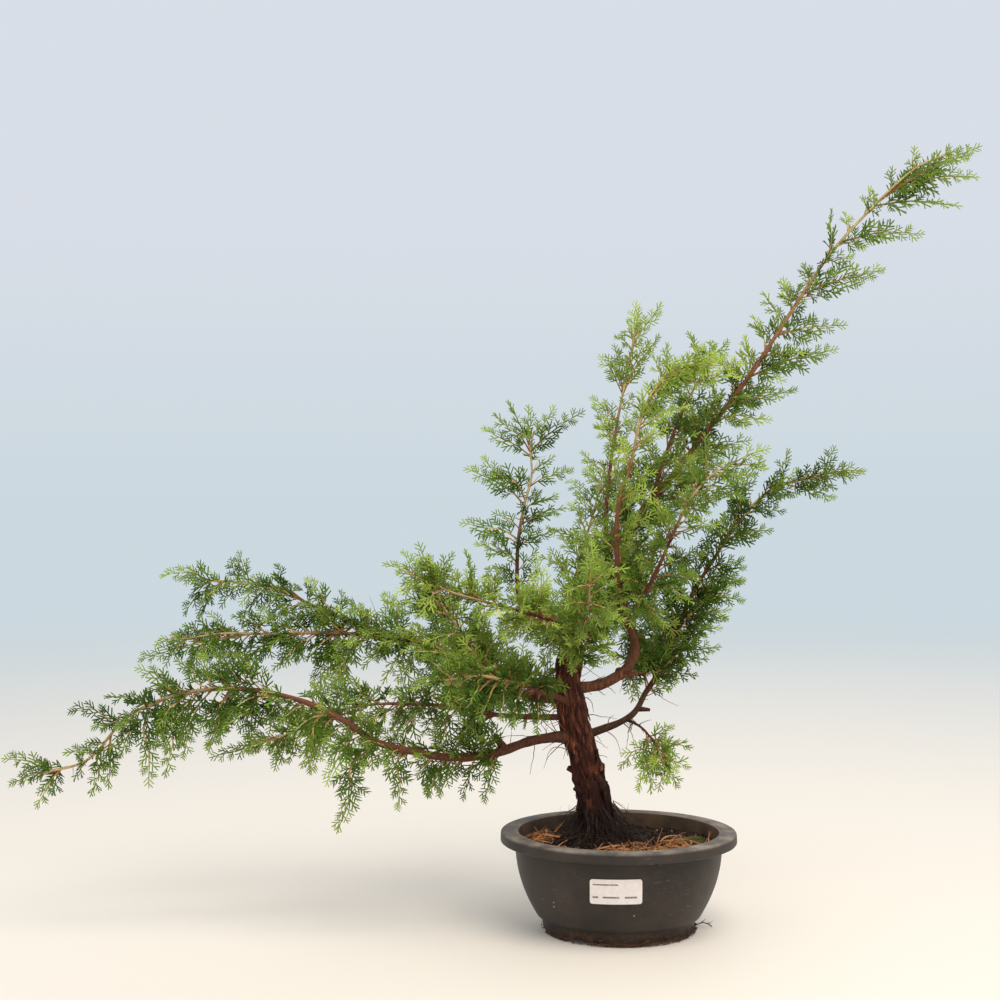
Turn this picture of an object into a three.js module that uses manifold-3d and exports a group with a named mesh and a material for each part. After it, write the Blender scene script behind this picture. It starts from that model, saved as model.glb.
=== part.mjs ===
// A juniper bonsai in a round plastic training pot, as it is grown on before its first potting.
//
// Millimetres, +Z up. The origin is the centre of the pot's underside, in the plane that its feet
// and its middle pad stand on. +X is the right of the tree's front, and -Y faces the viewer.
//
// The pot is one moulding: a foot band, a bellied wall and a flat lip. It holds the soil, which
// carries the root mat, some moss and dry litter. The trunk stands in a socket in the soil. Each
// limb is a tapered solid that starts at its parent, and each spray of foliage is a lobed solid
// with its limb running through it.

import * as THREE from "three";
import { mergeVertices } from "three/addons/utils/BufferGeometryUtils.js";
import Module from "manifold-3d";

const wasm = await Module();
wasm.setup();

// ---- Driving dimensions -------------------------------------------------------------------

const GAP = 0.3; // kept between any two pieces that touch

const pot = {
  height: 80,
  bodyTopRadius: 84, // outside of the wall, just under the lip
  bodyFootRadius: 66.5, // outside of the wall, just above the foot band
  bellyPower: 2.1, // how quickly the wall bellies out from the foot
  wall: 2.6,
  lipWidth: 12, // from the wall's outside to the lip's edge
  lipHeight: 8.5,
  lipRounding: 1.6,
  footHeight: 12,
  footInset: 5, // the foot band stands this far inside the wall above it
  footWall: 3,
  floorLift: 3.6, // underside of the floor above the table
  floorThickness: 3,
  padRadius: 14, // middle pad, level with the feet
  archCount: 6,
  archWidth: 34,
  archHeight: 2.4,
  holeCount: 6,
  holeRadius: 4.5,
  holeCircle: 36,
};

const label = {
  width: 40,
  height: 20,
  corner: 2,
  thickness: 0.4,
  centreHeight: 48,
  sideways: -7.2,
};

const soilDepth = 11; // soil surface below the top of the lip
const rootMat = { radius: 37, height: 14 };
const litterHeight = 3;
const litters = [
  { name: "litter_left", x: -60, y: 12, long: 15, wide: 20 },
  { name: "litter_front", x: 14, y: -44, long: 22, wide: 10 },
  { name: "litter_right", x: 50, y: -24, long: 13, wide: 14 },
];
const moss = { x: 58, y: 10, long: 14, wide: 16, height: 4.5 };
const straggler = { radius: 0.8, reach: 15, height: 5.5 }; // a root out of a foot arch

const trunkX = -17; // the trunk's foot, left of the pot's middle
const trunkRadius = 17; // at the soil
const treeHeight = 575; // from the soil to the top spray
const treeDrawnHeight = 575; // the height that the routes below are drawn at

const ringSegments = 48; // round the pot and the soil
const capSegments = 24; // round a heap on the soil
const trunkSides = 12;
const limbSides = 7;
const spraySides = 8;

// ---- Routes --------------------------------------------------------------------------------
// Points are from the trunk's foot on the soil. A limb starts at a share of its parent's length,
// so its first point is worked out, and its radii are at its start and its end.

const trunkRoute = [
  { at: [0, 0, -40], girth: 0.95 },
  { at: [0, 0, 0], girth: 1 },
  { at: [-1, 0, 23], girth: 0.78 },
  { at: [-7, 0, 52], girth: 0.7 },
  { at: [-13, 0, 78], girth: 0.62 },
  { at: [-20, 0, 106], girth: 0.56 },
  { at: [-24, 0, 132], girth: 0.5 },
  { at: [-21, 4, 153], girth: 0.36 },
  { at: [-15, 8, 172], girth: 0.2 },
];

const limbs = [
  {
    name: "limb_lower_left", parent: "trunk", share: 0.6, radii: [6.2, 1.6],
    route: [[-51, -18, 87], [-83, -34, 79], [-116, -46, 77], [-148, -54, 83], [-176, -58, 91],
      [-200, -58, 107], [-236, -54, 123], [-280, -48, 131], [-330, -40, 127], [-375, -34, 108],
      [-408, -30, 73], [-449, -26, 61]],
  },
  {
    name: "limb_upper_left", parent: "trunk", share: 0.75, radii: [5.2, 1.5],
    route: [[-46, 14, 117], [-79, 30, 126], [-111, 44, 145], [-141, 54, 159], [-181, 60, 164],
      [-227, 62, 167], [-271, 60, 166], [-312, 54, 167], [-345, 50, 163]],
  },
  {
    name: "limb_upper_left_fork", parent: "limb_upper_left", share: 0.5, radii: [3.2, 1.3],
    route: [[-212, 70, 178], [-247, 78, 192], [-265, 84, 203], [-300, 88, 208], [-336, 90, 211]],
  },
  {
    name: "limb_mid_left", parent: "trunk", share: 0.67, radii: [3.4, 1.2],
    route: [[-51, -6, 104], [-83, -8, 106], [-120, -4, 112], [-161, 2, 114], [-202, 6, 110],
      [-231, 4, 97], [-262, 0, 86]],
  },
  {
    name: "limb_left_riser", parent: "limb_upper_left", share: 0.1, radii: [3.8, 1.3],
    route: [[-72, -18, 128], [-94, -46, 152], [-109, -62, 177], [-124, -70, 199],
      [-132, -74, 220]],
  },
  {
    name: "limb_main_leader", parent: "trunk", share: 0.78, radii: [8.2, 1.5],
    route: [[-1, 0, 129], [19, 2, 138], [31, 4, 155], [28, 8, 175], [21, 12, 198],
      [23, 16, 231], [36, 20, 268], [63, 20, 300], [89, 16, 334], [124, 8, 380], [157, 0, 432],
      [187, -8, 478], [221, -14, 516], [252, -20, 545], [276, -26, 556]],
  },
  {
    name: "limb_left_leader", parent: "trunk", share: 0.92, radii: [4.2, 1.3],
    route: [[-42, 20, 172], [-61, 30, 191], [-65, 34, 214], [-64, 34, 247], [-59, 34, 276],
      [-53, 32, 301], [-55, 28, 326]],
  },
  {
    name: "limb_top_left", parent: "trunk", share: 0.95, radii: [3.6, 1.2],
    route: [[-33, -26, 182], [-64, -52, 193], [-95, -66, 202], [-120, -72, 210],
      [-144, -76, 221]],
  },
  {
    name: "limb_centre_rear", parent: "limb_main_leader", share: 0.22, radii: [3.8, 1.3],
    route: [[12, 34, 226], [10, 52, 263], [14, 58, 305], [20, 60, 345], [29, 58, 390],
      [34, 55, 418]],
  },
  {
    name: "limb_centre_front", parent: "limb_main_leader", share: 0.16, radii: [3.8, 1.3],
    route: [[17, -20, 208], [13, -38, 244], [14, -46, 275], [24, -50, 311], [32, -52, 347],
      [46, -54, 372], [70, -54, 385]],
  },
  {
    name: "limb_right", parent: "trunk", share: 0.59, radii: [5.4, 1.4],
    route: [[26, 12, 101], [41, 22, 120], [56, 30, 143], [71, 38, 175], [84, 44, 204],
      [103, 50, 233], [124, 54, 263], [148, 56, 287], [180, 56, 299], [204, 54, 303]],
  },
  {
    name: "limb_right_low", parent: "limb_right", share: 0.13, radii: [2.8, 1.2],
    route: [[36, -8, 95], [45, -22, 84], [50, -30, 73], [54, -34, 66]],
  },
  {
    name: "limb_centre_right", parent: "limb_main_leader", share: 0.215, radii: [3.4, 1.2],
    route: [[34, -22, 203], [46, -44, 228], [56, -54, 253], [69, -58, 280], [86, -60, 300],
      [104, -60, 309]],
  },
  {
    name: "limb_inner_right", parent: "limb_main_leader", share: 0.37, radii: [3.2, 1.2],
    route: [[46, -6, 286], [53, -18, 314], [63, -24, 342], [76, -28, 370], [88, -30, 388]],
  },
  {
    name: "limb_front", parent: "trunk", share: 0.85, radii: [4, 1.3],
    route: [[-19, -40, 157], [-15, -80, 179], [-13, -112, 202], [-13, -128, 218]],
  },
  {
    name: "limb_rear", parent: "trunk", share: 0.91, radii: [4.2, 1.3],
    route: [[-16, 48, 178], [-14, 84, 207], [-6, 104, 240], [3, 114, 269], [10, 118, 296]],
  },
  {
    name: "limb_rear_left", parent: "trunk", share: 0.8, radii: [4, 1.3],
    route: [[-46, 52, 126], [-75, 92, 134], [-108, 118, 143], [-138, 132, 148]],
  },
  {
    name: "limb_rear_right", parent: "limb_main_leader", share: 0.08, radii: [4, 1.3],
    route: [[34, 54, 142], [61, 90, 162], [92, 114, 183], [114, 126, 196]],
  },
  {
    name: "limb_front_left", parent: "trunk", share: 0.725, radii: [4, 1.3],
    route: [[-44, -44, 128], [-70, -82, 140], [-97, -108, 148], [-121, -120, 145]],
  },
];

// Sawn or broken stubs, each grown into its limb.
const stubs = [
  { on: "limb_lower_left", share: 0.14, towards: [-0.6, 0, 0.8], length: 12, radius: 3 },
  { on: "limb_main_leader", share: 0.075, towards: [0.9, -0.3, 0.1], length: 12, radius: 3.2 },
  { on: "limb_right", share: 0.17, towards: [0.95, 0.1, -0.2], length: 16, radius: 2.6 },
];

// A spray covers its limb from one share of the limb's length to another. Past 1 it overhangs
// the wood's tip. It is widest across the direction that its face looks in.
const up = [0, 0.25, 1];
const front = [0.15, -1, 0.2];
const sprays = [
  { name: "spray_lower_left_inner", limb: "limb_lower_left", from: 0.32, to: 0.52, width: 36, thick: 22, face: front },
  { name: "spray_lower_left_outer", limb: "limb_lower_left", from: 0.54, to: 0.8, width: 38, thick: 24, face: front },
  { name: "spray_lower_left_tip", limb: "limb_lower_left", from: 0.82, to: 1.1, width: 24, thick: 15, face: front },
  { name: "spray_upper_left_inner", limb: "limb_upper_left", from: 0.22, to: 0.58, width: 34, thick: 22, face: front },
  { name: "spray_upper_left_outer", limb: "limb_upper_left", from: 0.61, to: 1.09, width: 32, thick: 20, face: front },
  { name: "spray_upper_left_fork", limb: "limb_upper_left_fork", from: 0.3, to: 1.15, width: 22, thick: 17, face: front },
  { name: "spray_mid_left", limb: "limb_mid_left", from: 0.4, to: 1.1, width: 24, thick: 16, face: up },
  { name: "spray_left_riser", limb: "limb_left_riser", from: 0.4, to: 1.1, width: 22, thick: 17, face: front },
  { name: "spray_top_left", limb: "limb_top_left", from: 0.3, to: 1.1, width: 26, thick: 17, face: up },
  { name: "spray_left_leader_low", limb: "limb_left_leader", from: 0.3, to: 0.64, width: 30, thick: 18, face: front },
  { name: "spray_left_leader_top", limb: "limb_left_leader", from: 0.67, to: 1.14, width: 38, thick: 17, face: front },
  { name: "spray_main_leader_low", limb: "limb_main_leader", from: 0.32, to: 0.52, width: 38, thick: 26, face: front },
  { name: "spray_main_leader_mid", limb: "limb_main_leader", from: 0.54, to: 0.76, width: 34, thick: 25, face: front },
  { name: "spray_main_leader_top", limb: "limb_main_leader", from: 0.78, to: 1.05, width: 26, thick: 18, face: front },
  { name: "spray_centre_rear", limb: "limb_centre_rear", from: 0.3, to: 1.07, width: 28, thick: 22, face: front },
  { name: "spray_centre_front", limb: "limb_centre_front", from: 0.25, to: 1.08, width: 32, thick: 19, face: front },
  { name: "spray_right_low", limb: "limb_right", from: 0.3, to: 0.6, width: 34, thick: 22, face: front },
  { name: "spray_right_top", limb: "limb_right", from: 0.63, to: 1.08, width: 22, thick: 18, face: front },
  { name: "spray_right_hanging", limb: "limb_right_low", from: 0.42, to: 1.5, width: 32, thick: 15, face: front },
  { name: "spray_centre_right", limb: "limb_centre_right", from: 0.3, to: 1.12, width: 28, thick: 17, face: front },
  { name: "spray_inner_right", limb: "limb_inner_right", from: 0.35, to: 1.1, width: 24, thick: 16, face: front },
  { name: "spray_front", limb: "limb_front", from: 0.45, to: 1.18, width: 36, thick: 20, face: up },
  { name: "spray_rear", limb: "limb_rear", from: 0.35, to: 1.1, width: 32, thick: 20, face: front },
  { name: "spray_rear_left", limb: "limb_rear_left", from: 0.35, to: 1.15, width: 34, thick: 19, face: up },
  { name: "spray_rear_right", limb: "limb_rear_right", from: 0.35, to: 1.15, width: 34, thick: 19, face: up },
  { name: "spray_front_left", limb: "limb_front_left", from: 0.35, to: 1.15, width: 34, thick: 19, face: up },
];

// ---- Materials -----------------------------------------------------------------------------

function finish(color, roughness) {
  return new THREE.MeshStandardMaterial({ color, roughness, metalness: 0 });
}
const plastic = finish(0x3a3531, 0.62);
const paper = finish(0xf0e6e0, 0.6);
const earth = finish(0x2e211a, 0.95);
const fibre = finish(0x2a1c15, 0.95);
const straw = finish(0x9c5a2c, 0.8);
const mossGreen = finish(0x5b6230, 0.95);
const bark = finish(0x55301f, 0.85);
const youngBark = finish(0x8a5230, 0.75);
const leaf = finish(0x4f7a2c, 0.6);

// ---- Solids --------------------------------------------------------------------------------

/** A closed three.js geometry as a manifold-3d solid. */
function solidOf(geometry) {
  const bare = geometry.clone();
  bare.deleteAttribute("normal");
  bare.deleteAttribute("uv");
  const merged = mergeVertices(bare, 1e-4);
  return new wasm.Manifold(
    new wasm.Mesh({
      numProp: 3,
      vertProperties: merged.attributes.position.array,
      triVerts: new Uint32Array(merged.index.array),
    }),
  );
}

/** A solid's surface as a three.js geometry. */
function geometryOf(solid) {
  const mesh = solid.getMesh();
  const geometry = new THREE.BufferGeometry();
  geometry.setAttribute("position", new THREE.BufferAttribute(mesh.vertProperties, 3));
  geometry.setIndex(new THREE.BufferAttribute(mesh.triVerts, 1));
  return geometry;
}

/** What is left of a solid once others are cut from it, without any crumbs. */
function cutBy(solid, cutters) {
  let left = solid;
  for (const cutter of cutters) left = left.subtract(cutter);
  return left.decompose().reduce((a, b) => (a.volume() > b.volume() ? a : b));
}

/** A solid turned about the Z axis from a closed outline of [radius, height] points. */
function turned(outline, segments = ringSegments) {
  const points = outline.map(([r, z]) => new THREE.Vector2(r, z));
  return new THREE.LatheGeometry(points, segments).rotateX(Math.PI / 2);
}

/** A cylinder bent along a curve. sectionAt(share) gives the half sizes and the two axes. */
function bent(curve, sides, steps, sectionAt) {
  const geometry = new THREE.CylinderGeometry(1, 1, 1, sides, steps);
  const position = geometry.attributes.position;
  const point = new THREE.Vector3();
  for (let i = 0; i < position.count; i++) {
    const share = THREE.MathUtils.clamp(position.getY(i) + 0.5, 0, 1);
    const { across, through, acrossHalf, throughHalf } = sectionAt(share);
    curve.getPointAt(share, point);
    point.addScaledVector(across, position.getX(i) * acrossHalf);
    point.addScaledVector(through, position.getZ(i) * throughHalf);
    position.setXYZ(i, point.x, point.y, point.z);
  }
  return geometry;
}

/** A round tapered solid along a curve. */
function tapered(curve, sides, steps, radiusAt, grow = 0) {
  const frames = curve.computeFrenetFrames(steps, false);
  return bent(curve, sides, steps, (share) => {
    const i = Math.round(share * steps);
    const radius = radiusAt(share) + grow;
    return {
      across: frames.binormals[i],
      through: frames.normals[i],
      acrossHalf: radius,
      throughHalf: radius,
    };
  });
}

/** A flattened, lobed solid along a curve, widest across the direction that its face looks in. */
function lobed(curve, steps, lobes, width, thick, face, grow = 0) {
  return bent(curve, spraySides, steps, (share) => {
    const along = curve.getTangentAt(share);
    const across = along.clone().cross(face).normalize();
    const through = across.clone().cross(along);
    const fullness = Math.sqrt(Math.sin(Math.PI * (0.06 + 0.925 * share)));
    const lobe = 1 + 0.16 * Math.cos(2 * Math.PI * lobes * share);
    return {
      across,
      through,
      acrossHalf: width * fullness * lobe + grow,
      throughHalf: thick * fullness + grow,
    };
  });
}

/** A low ellipsoidal cap standing on a level. */
function cap(centre, long, wide, height, level) {
  const outline = [[0, 0], [1, 0], [0.86, 0.5], [0.55, 0.85], [0, 1]];
  return turned(outline, capSegments)
    .scale(long, wide, height)
    .translate(centre.x, centre.y, level);
}

// ---- Pot -----------------------------------------------------------------------------------

const lipUnder = pot.height - pot.lipHeight;
const lipRadius = pot.bodyTopRadius + pot.lipWidth;
const footRadius = pot.bodyFootRadius - pot.footInset;
const floorTop = pot.floorLift + pot.floorThickness;
const stepTop = pot.footHeight + 1; // the step above the foot band slopes by this much
const wallSteps = 4;

/** The wall's outside radius at a height above the foot band. */
function wallRadius(z) {
  const share = THREE.MathUtils.clamp((z - stepTop) / (lipUnder - stepTop), 0, 1);
  const belly = 1 - (1 - share) ** pot.bellyPower;
  return pot.bodyFootRadius + (pot.bodyTopRadius - pot.bodyFootRadius) * belly;
}

/** Points up the wall between two heights, a set distance in from its outside. */
function wallLine(from, to, inset) {
  return Array.from({ length: wallSteps + 1 }, (_, i) => {
    const z = from + ((to - from) * i) / wallSteps;
    return [wallRadius(z) - inset, z];
  });
}

const potOutline = [
  [0, 0],
  [pot.padRadius, 0],
  [pot.padRadius + 1, pot.floorLift],
  [footRadius - pot.footWall, pot.floorLift],
  [footRadius - pot.footWall, 0],
  [footRadius, 0],
  [footRadius + 1, pot.footHeight],
  ...wallLine(stepTop, lipUnder, 0),
  [lipRadius - pot.lipRounding, lipUnder],
  [lipRadius, lipUnder + pot.lipRounding],
  [lipRadius, pot.height - pot.lipRounding],
  [lipRadius - pot.lipRounding, pot.height],
  [pot.bodyTopRadius - pot.wall, pot.height],
  ...wallLine(lipUnder, stepTop + pot.wall, pot.wall),
  [footRadius - pot.wall, pot.footHeight],
  [footRadius - pot.wall, floorTop],
  [0, floorTop],
];

const archCutters = Array.from({ length: pot.archCount }, (_, i) =>
  solidOf(
    new THREE.BoxGeometry(pot.footWall * 4, pot.archWidth, pot.archHeight * 2)
      .translate(footRadius - pot.footWall / 2, 0, 0)
      .rotateZ((2 * Math.PI * i) / pot.archCount),
  ),
);
const holeCutters = Array.from({ length: pot.holeCount }, (_, i) =>
  solidOf(
    new THREE.CylinderGeometry(pot.holeRadius, pot.holeRadius, floorTop * 4, 12)
      .rotateX(Math.PI / 2)
      .translate(pot.holeCircle, 0, 0)
      .rotateZ((2 * Math.PI * (i + 0.5)) / pot.holeCount),
  ),
);
const potSolid = cutBy(solidOf(turned(potOutline)), [...archCutters, ...holeCutters]);

// ---- Label, a sticker that follows the wall ------------------------------------------------

function makeLabel() {
  const half = label.height / 2 + 2;
  const low = label.centreHeight - half;
  const high = label.centreHeight + half;
  const band = turned([
    ...wallLine(low, high, -GAP - label.thickness),
    ...wallLine(high, low, -GAP),
    [wallRadius(low) + GAP + label.thickness, low],
  ]);
  const [w, h, c] = [label.width / 2, label.height / 2, label.corner];
  const shape = new THREE.Shape();
  shape.absarc(w - c, h - c, c, 0, Math.PI / 2);
  shape.absarc(c - w, h - c, c, Math.PI / 2, Math.PI);
  shape.absarc(c - w, c - h, c, Math.PI, 1.5 * Math.PI);
  shape.absarc(w - c, c - h, c, 1.5 * Math.PI, 2 * Math.PI);
  const depth = pot.bodyTopRadius + GAP + label.thickness + 1;
  const cutter = new THREE.ExtrudeGeometry(shape, { depth, bevelEnabled: false, curveSegments: 3 })
    .rotateX(Math.PI / 2)
    .translate(label.sideways, 0, label.centreHeight);
  return solidOf(band).intersect(solidOf(cutter));
}

// ---- Trunk and limbs -----------------------------------------------------------------------

const soilTop = pot.height - soilDepth;
const treeScale = treeHeight / treeDrawnHeight;
const trunkFoot = new THREE.Vector3(trunkX, 0, soilTop);

/** A route's point in the object's frame. The part under the soil isn't scaled with the tree. */
function inFrame([x, y, z]) {
  const scale = z < 0 ? 1 : treeScale;
  return new THREE.Vector3(x, y, z).multiplyScalar(scale).add(trunkFoot);
}

const wood = new Map(); // name to {curve, sides, steps, radiusAt}

wood.set("trunk", {
  curve: new THREE.CatmullRomCurve3(trunkRoute.map(({ at }) => inFrame(at))),
  sides: trunkSides,
  steps: 16,
  radiusAt(share) {
    const place = share * (trunkRoute.length - 1);
    const i = Math.min(Math.floor(place), trunkRoute.length - 2);
    const girth = THREE.MathUtils.lerp(trunkRoute[i].girth, trunkRoute[i + 1].girth, place - i);
    return trunkRadius * girth;
  },
});

for (const { name, parent, share, radii, route } of limbs) {
  const start = wood.get(parent).curve.getPointAt(share);
  wood.set(name, {
    curve: new THREE.CatmullRomCurve3([start, ...route.map(inFrame)]),
    sides: limbSides,
    steps: route.length + 2,
    radiusAt: (along) => THREE.MathUtils.lerp(radii[0], radii[1], along ** 0.8),
  });
}

/** A piece of wood with its stubs, made larger all over by grow. */
function woodSolid(name, grow = 0) {
  const { curve, sides, steps, radiusAt } = wood.get(name);
  let solid = solidOf(tapered(curve, sides, steps, radiusAt, grow));
  for (const { on, share, towards, length, radius } of stubs) {
    if (on !== name) continue;
    const start = curve.getPointAt(share);
    const reach = radiusAt(share) + length;
    const end = start.clone().addScaledVector(new THREE.Vector3(...towards).normalize(), reach);
    const line = new THREE.LineCurve3(start, end);
    const taper = (along) => THREE.MathUtils.lerp(radius, radius * 0.6, along);
    solid = solid.add(solidOf(tapered(line, limbSides, 1, taper, grow)));
  }
  return solid;
}

const woodSolids = new Map();
const woodCutters = [];
for (const name of wood.keys()) {
  woodSolids.set(name, cutBy(woodSolid(name), woodCutters));
  woodCutters.push(woodSolid(name, GAP));
}

// ---- Foliage -------------------------------------------------------------------------------

/** The line of a spray: its limb's own line from one share to another, straight on past the tip. */
function sprayCurve({ limb, from, to }) {
  const { curve } = wood.get(limb);
  const length = curve.getLength();
  const picks = 7;
  const points = Array.from({ length: picks }, (_, i) => {
    const share = from + ((to - from) * i) / (picks - 1);
    const past = Math.max(0, share - 1);
    const onLimb = Math.min(share, 1);
    return curve.getPointAt(onLimb).addScaledVector(curve.getTangentAt(onLimb), past * length);
  });
  return new THREE.CatmullRomCurve3(points);
}

function spraySolid(spray, grow = 0) {
  const curve = sprayCurve(spray);
  const lobes = Math.max(2, Math.round(curve.getLength() / 45));
  const face = new THREE.Vector3(...spray.face).normalize();
  const steps = Math.min(2 * lobes, 8);
  return solidOf(lobed(curve, steps, lobes, spray.width, spray.thick, face, grow));
}

const foliageSolids = new Map();
const foliageCutters = [...woodCutters];
for (const spray of sprays) {
  foliageSolids.set(spray.name, cutBy(spraySolid(spray), foliageCutters));
  foliageCutters.push(spraySolid(spray, GAP));
}

// ---- Soil and what lies on it --------------------------------------------------------------

const surface = soilTop + GAP;
const soilOutline = [
  [0, floorTop + GAP],
  [footRadius - pot.wall - GAP, floorTop + GAP],
  [footRadius - pot.wall - GAP, pot.footHeight + GAP],
  ...wallLine(stepTop + pot.wall + GAP, soilTop, pot.wall + GAP),
  [0, soilTop],
];
const trunkCutter = woodSolid("trunk", GAP);
const soilSolid = cutBy(solidOf(turned(soilOutline)), [trunkCutter]);

const { radius: matRadius, height: matHeight } = rootMat;
const matSolid = cutBy(
  solidOf(cap({ x: trunkX, y: 0 }, matRadius, matRadius, matHeight, surface)),
  [trunkCutter],
);
const matCutter = solidOf(
  cap({ x: trunkX, y: 0 }, matRadius + GAP, matRadius + GAP, matHeight + GAP, soilTop),
);
const mossSolid = solidOf(cap(moss, moss.long, moss.wide, moss.height, surface));
const mossCutter = solidOf(
  cap(moss, moss.long + GAP, moss.wide + GAP, moss.height + GAP, soilTop),
);

/** A root that has grown out through a foot arch and lies by the pot. */
function stragglerSolid() {
  const { radius, reach, height } = straggler;
  const direction = new THREE.Vector3(1, 0, 0);
  const route = [
    [footRadius - pot.footWall, pot.archHeight / 2],
    [footRadius + pot.footWall, pot.archHeight / 2],
    [footRadius + reach * 0.6, height],
    [footRadius + reach, radius],
  ];
  const points = route.map(([out, z]) =>
    direction.clone().multiplyScalar(out).add(new THREE.Vector3(0, out * 0.06, z)),
  );
  return solidOf(tapered(new THREE.CatmullRomCurve3(points), limbSides, 6, () => radius));
}

// ---- The object ----------------------------------------------------------------------------

const bonsai = new THREE.Group();

function place(name, solid, material) {
  const mesh = new THREE.Mesh(geometryOf(solid), material);
  mesh.name = name;
  bonsai.add(mesh);
}

place("pot", potSolid, plastic);
place("label", makeLabel(), paper);
place("soil", soilSolid, earth);
place("root_mat", matSolid, fibre);
place("moss", mossSolid, mossGreen);
place("straggling_root", stragglerSolid(), straw);
for (const patch of litters) {
  const heap = solidOf(cap(patch, patch.long, patch.wide, litterHeight, surface));
  place(patch.name, cutBy(heap, [matCutter, mossCutter, trunkCutter]), straw);
}
for (const [name, solid] of woodSolids) place(name, solid, name === "trunk" ? bark : youngBark);
for (const [name, solid] of foliageSolids) place(name, solid, leaf);

export default bonsai;
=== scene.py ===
"""A juniper bonsai in a round plastic training pot: its visual model.

Metres, +Z up. The origin is the centre of the pot's underside, and -Y faces the viewer. Sizes in
the tables are in millimetres, as in the part's own source, and are turned to metres where they are
used.
"""

import math
import random

import bmesh
import bpy
import numpy
from bpy.props import FloatProperty, FloatVectorProperty, IntProperty, PointerProperty
from mathutils import Matrix, Vector, noise
from mathutils.geometry import interpolate_bezier


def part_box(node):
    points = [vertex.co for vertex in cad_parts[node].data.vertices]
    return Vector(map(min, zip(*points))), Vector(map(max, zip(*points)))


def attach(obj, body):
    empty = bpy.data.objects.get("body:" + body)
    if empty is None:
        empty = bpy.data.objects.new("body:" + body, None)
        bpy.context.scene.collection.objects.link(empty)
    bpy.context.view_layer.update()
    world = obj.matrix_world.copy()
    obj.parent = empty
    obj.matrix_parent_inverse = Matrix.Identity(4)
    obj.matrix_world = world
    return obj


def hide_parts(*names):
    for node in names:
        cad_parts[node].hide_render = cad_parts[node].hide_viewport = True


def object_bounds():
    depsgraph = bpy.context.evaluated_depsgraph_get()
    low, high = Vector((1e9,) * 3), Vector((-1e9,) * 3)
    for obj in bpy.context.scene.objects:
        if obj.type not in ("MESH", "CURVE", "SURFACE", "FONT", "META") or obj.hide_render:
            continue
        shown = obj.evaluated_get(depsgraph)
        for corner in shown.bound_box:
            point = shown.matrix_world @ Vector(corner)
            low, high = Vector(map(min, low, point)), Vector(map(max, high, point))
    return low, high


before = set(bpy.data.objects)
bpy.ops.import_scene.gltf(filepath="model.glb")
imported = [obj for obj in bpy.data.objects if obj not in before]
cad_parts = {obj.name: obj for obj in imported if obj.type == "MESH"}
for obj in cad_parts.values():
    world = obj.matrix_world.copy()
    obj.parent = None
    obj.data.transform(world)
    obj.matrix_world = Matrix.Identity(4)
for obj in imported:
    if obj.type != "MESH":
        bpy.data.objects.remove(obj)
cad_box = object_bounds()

bl_info = {
    "name": "Potted juniper bonsai",
    "version": (1, 0, 0),
    "blender": (4, 5, 0),
    "location": "View3D > Sidebar > Bonsai",
    "description": "Builds a juniper bonsai in a round plastic training pot, piece by piece",
    "category": "Object",
}

MM = 0.001
UP = Vector((0, 0, 1))
TURN = 2 * math.pi

# ---- Sizes in millimetres ------------------------------------------------------------------

POT_HEIGHT = 80
LIP_RADIUS = 96
LIP_UNDER = 71.5
WALL_TOP_RADIUS = 84
WALL_FOOT_RADIUS = 66.5
WALL = 2.6
BELLY_POWER = 2.1
FOOT_RADIUS = 61.5
FOOT_WALL = 3
FOOT_HEIGHT = 12
STEP_TOP = 13
FLOOR_UNDER = 3.6
FLOOR_TOP = 6.6
PAD_RADIUS = 14
ARCHES = 6
ARCH_WIDTH = 34
ARCH_HEIGHT = 2.4
HOLES = 6
HOLE_RADIUS = 4.5
HOLE_CIRCLE = 36

SOIL_TOP = 69
TRUNK_X = -17
TRUNK_RADIUS = 17
TRUNK_BURIED = 40
FLARE_HEIGHT = 45
LIMB_TAPER = 0.45
ROOT_MAT_RADIUS = 37
ROOT_MAT_HEIGHT = 14

# The trunk's line from its foot on the soil, and its girth as a share of TRUNK_RADIUS.
TRUNK_LINE = [
    (0, 0, -TRUNK_BURIED), (0, 0, 0), (-1, 0, 23), (-7, 0, 52), (-13, 0, 78), (-20, 0, 106),
    (-24, 0, 132), (-21, 4, 153), (-15, 8, 172),
]
TRUNK_GIRTHS = [0.95, 1, 0.80, 0.72, 0.66, 0.66, 0.66, 0.54, 0.28]

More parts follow.
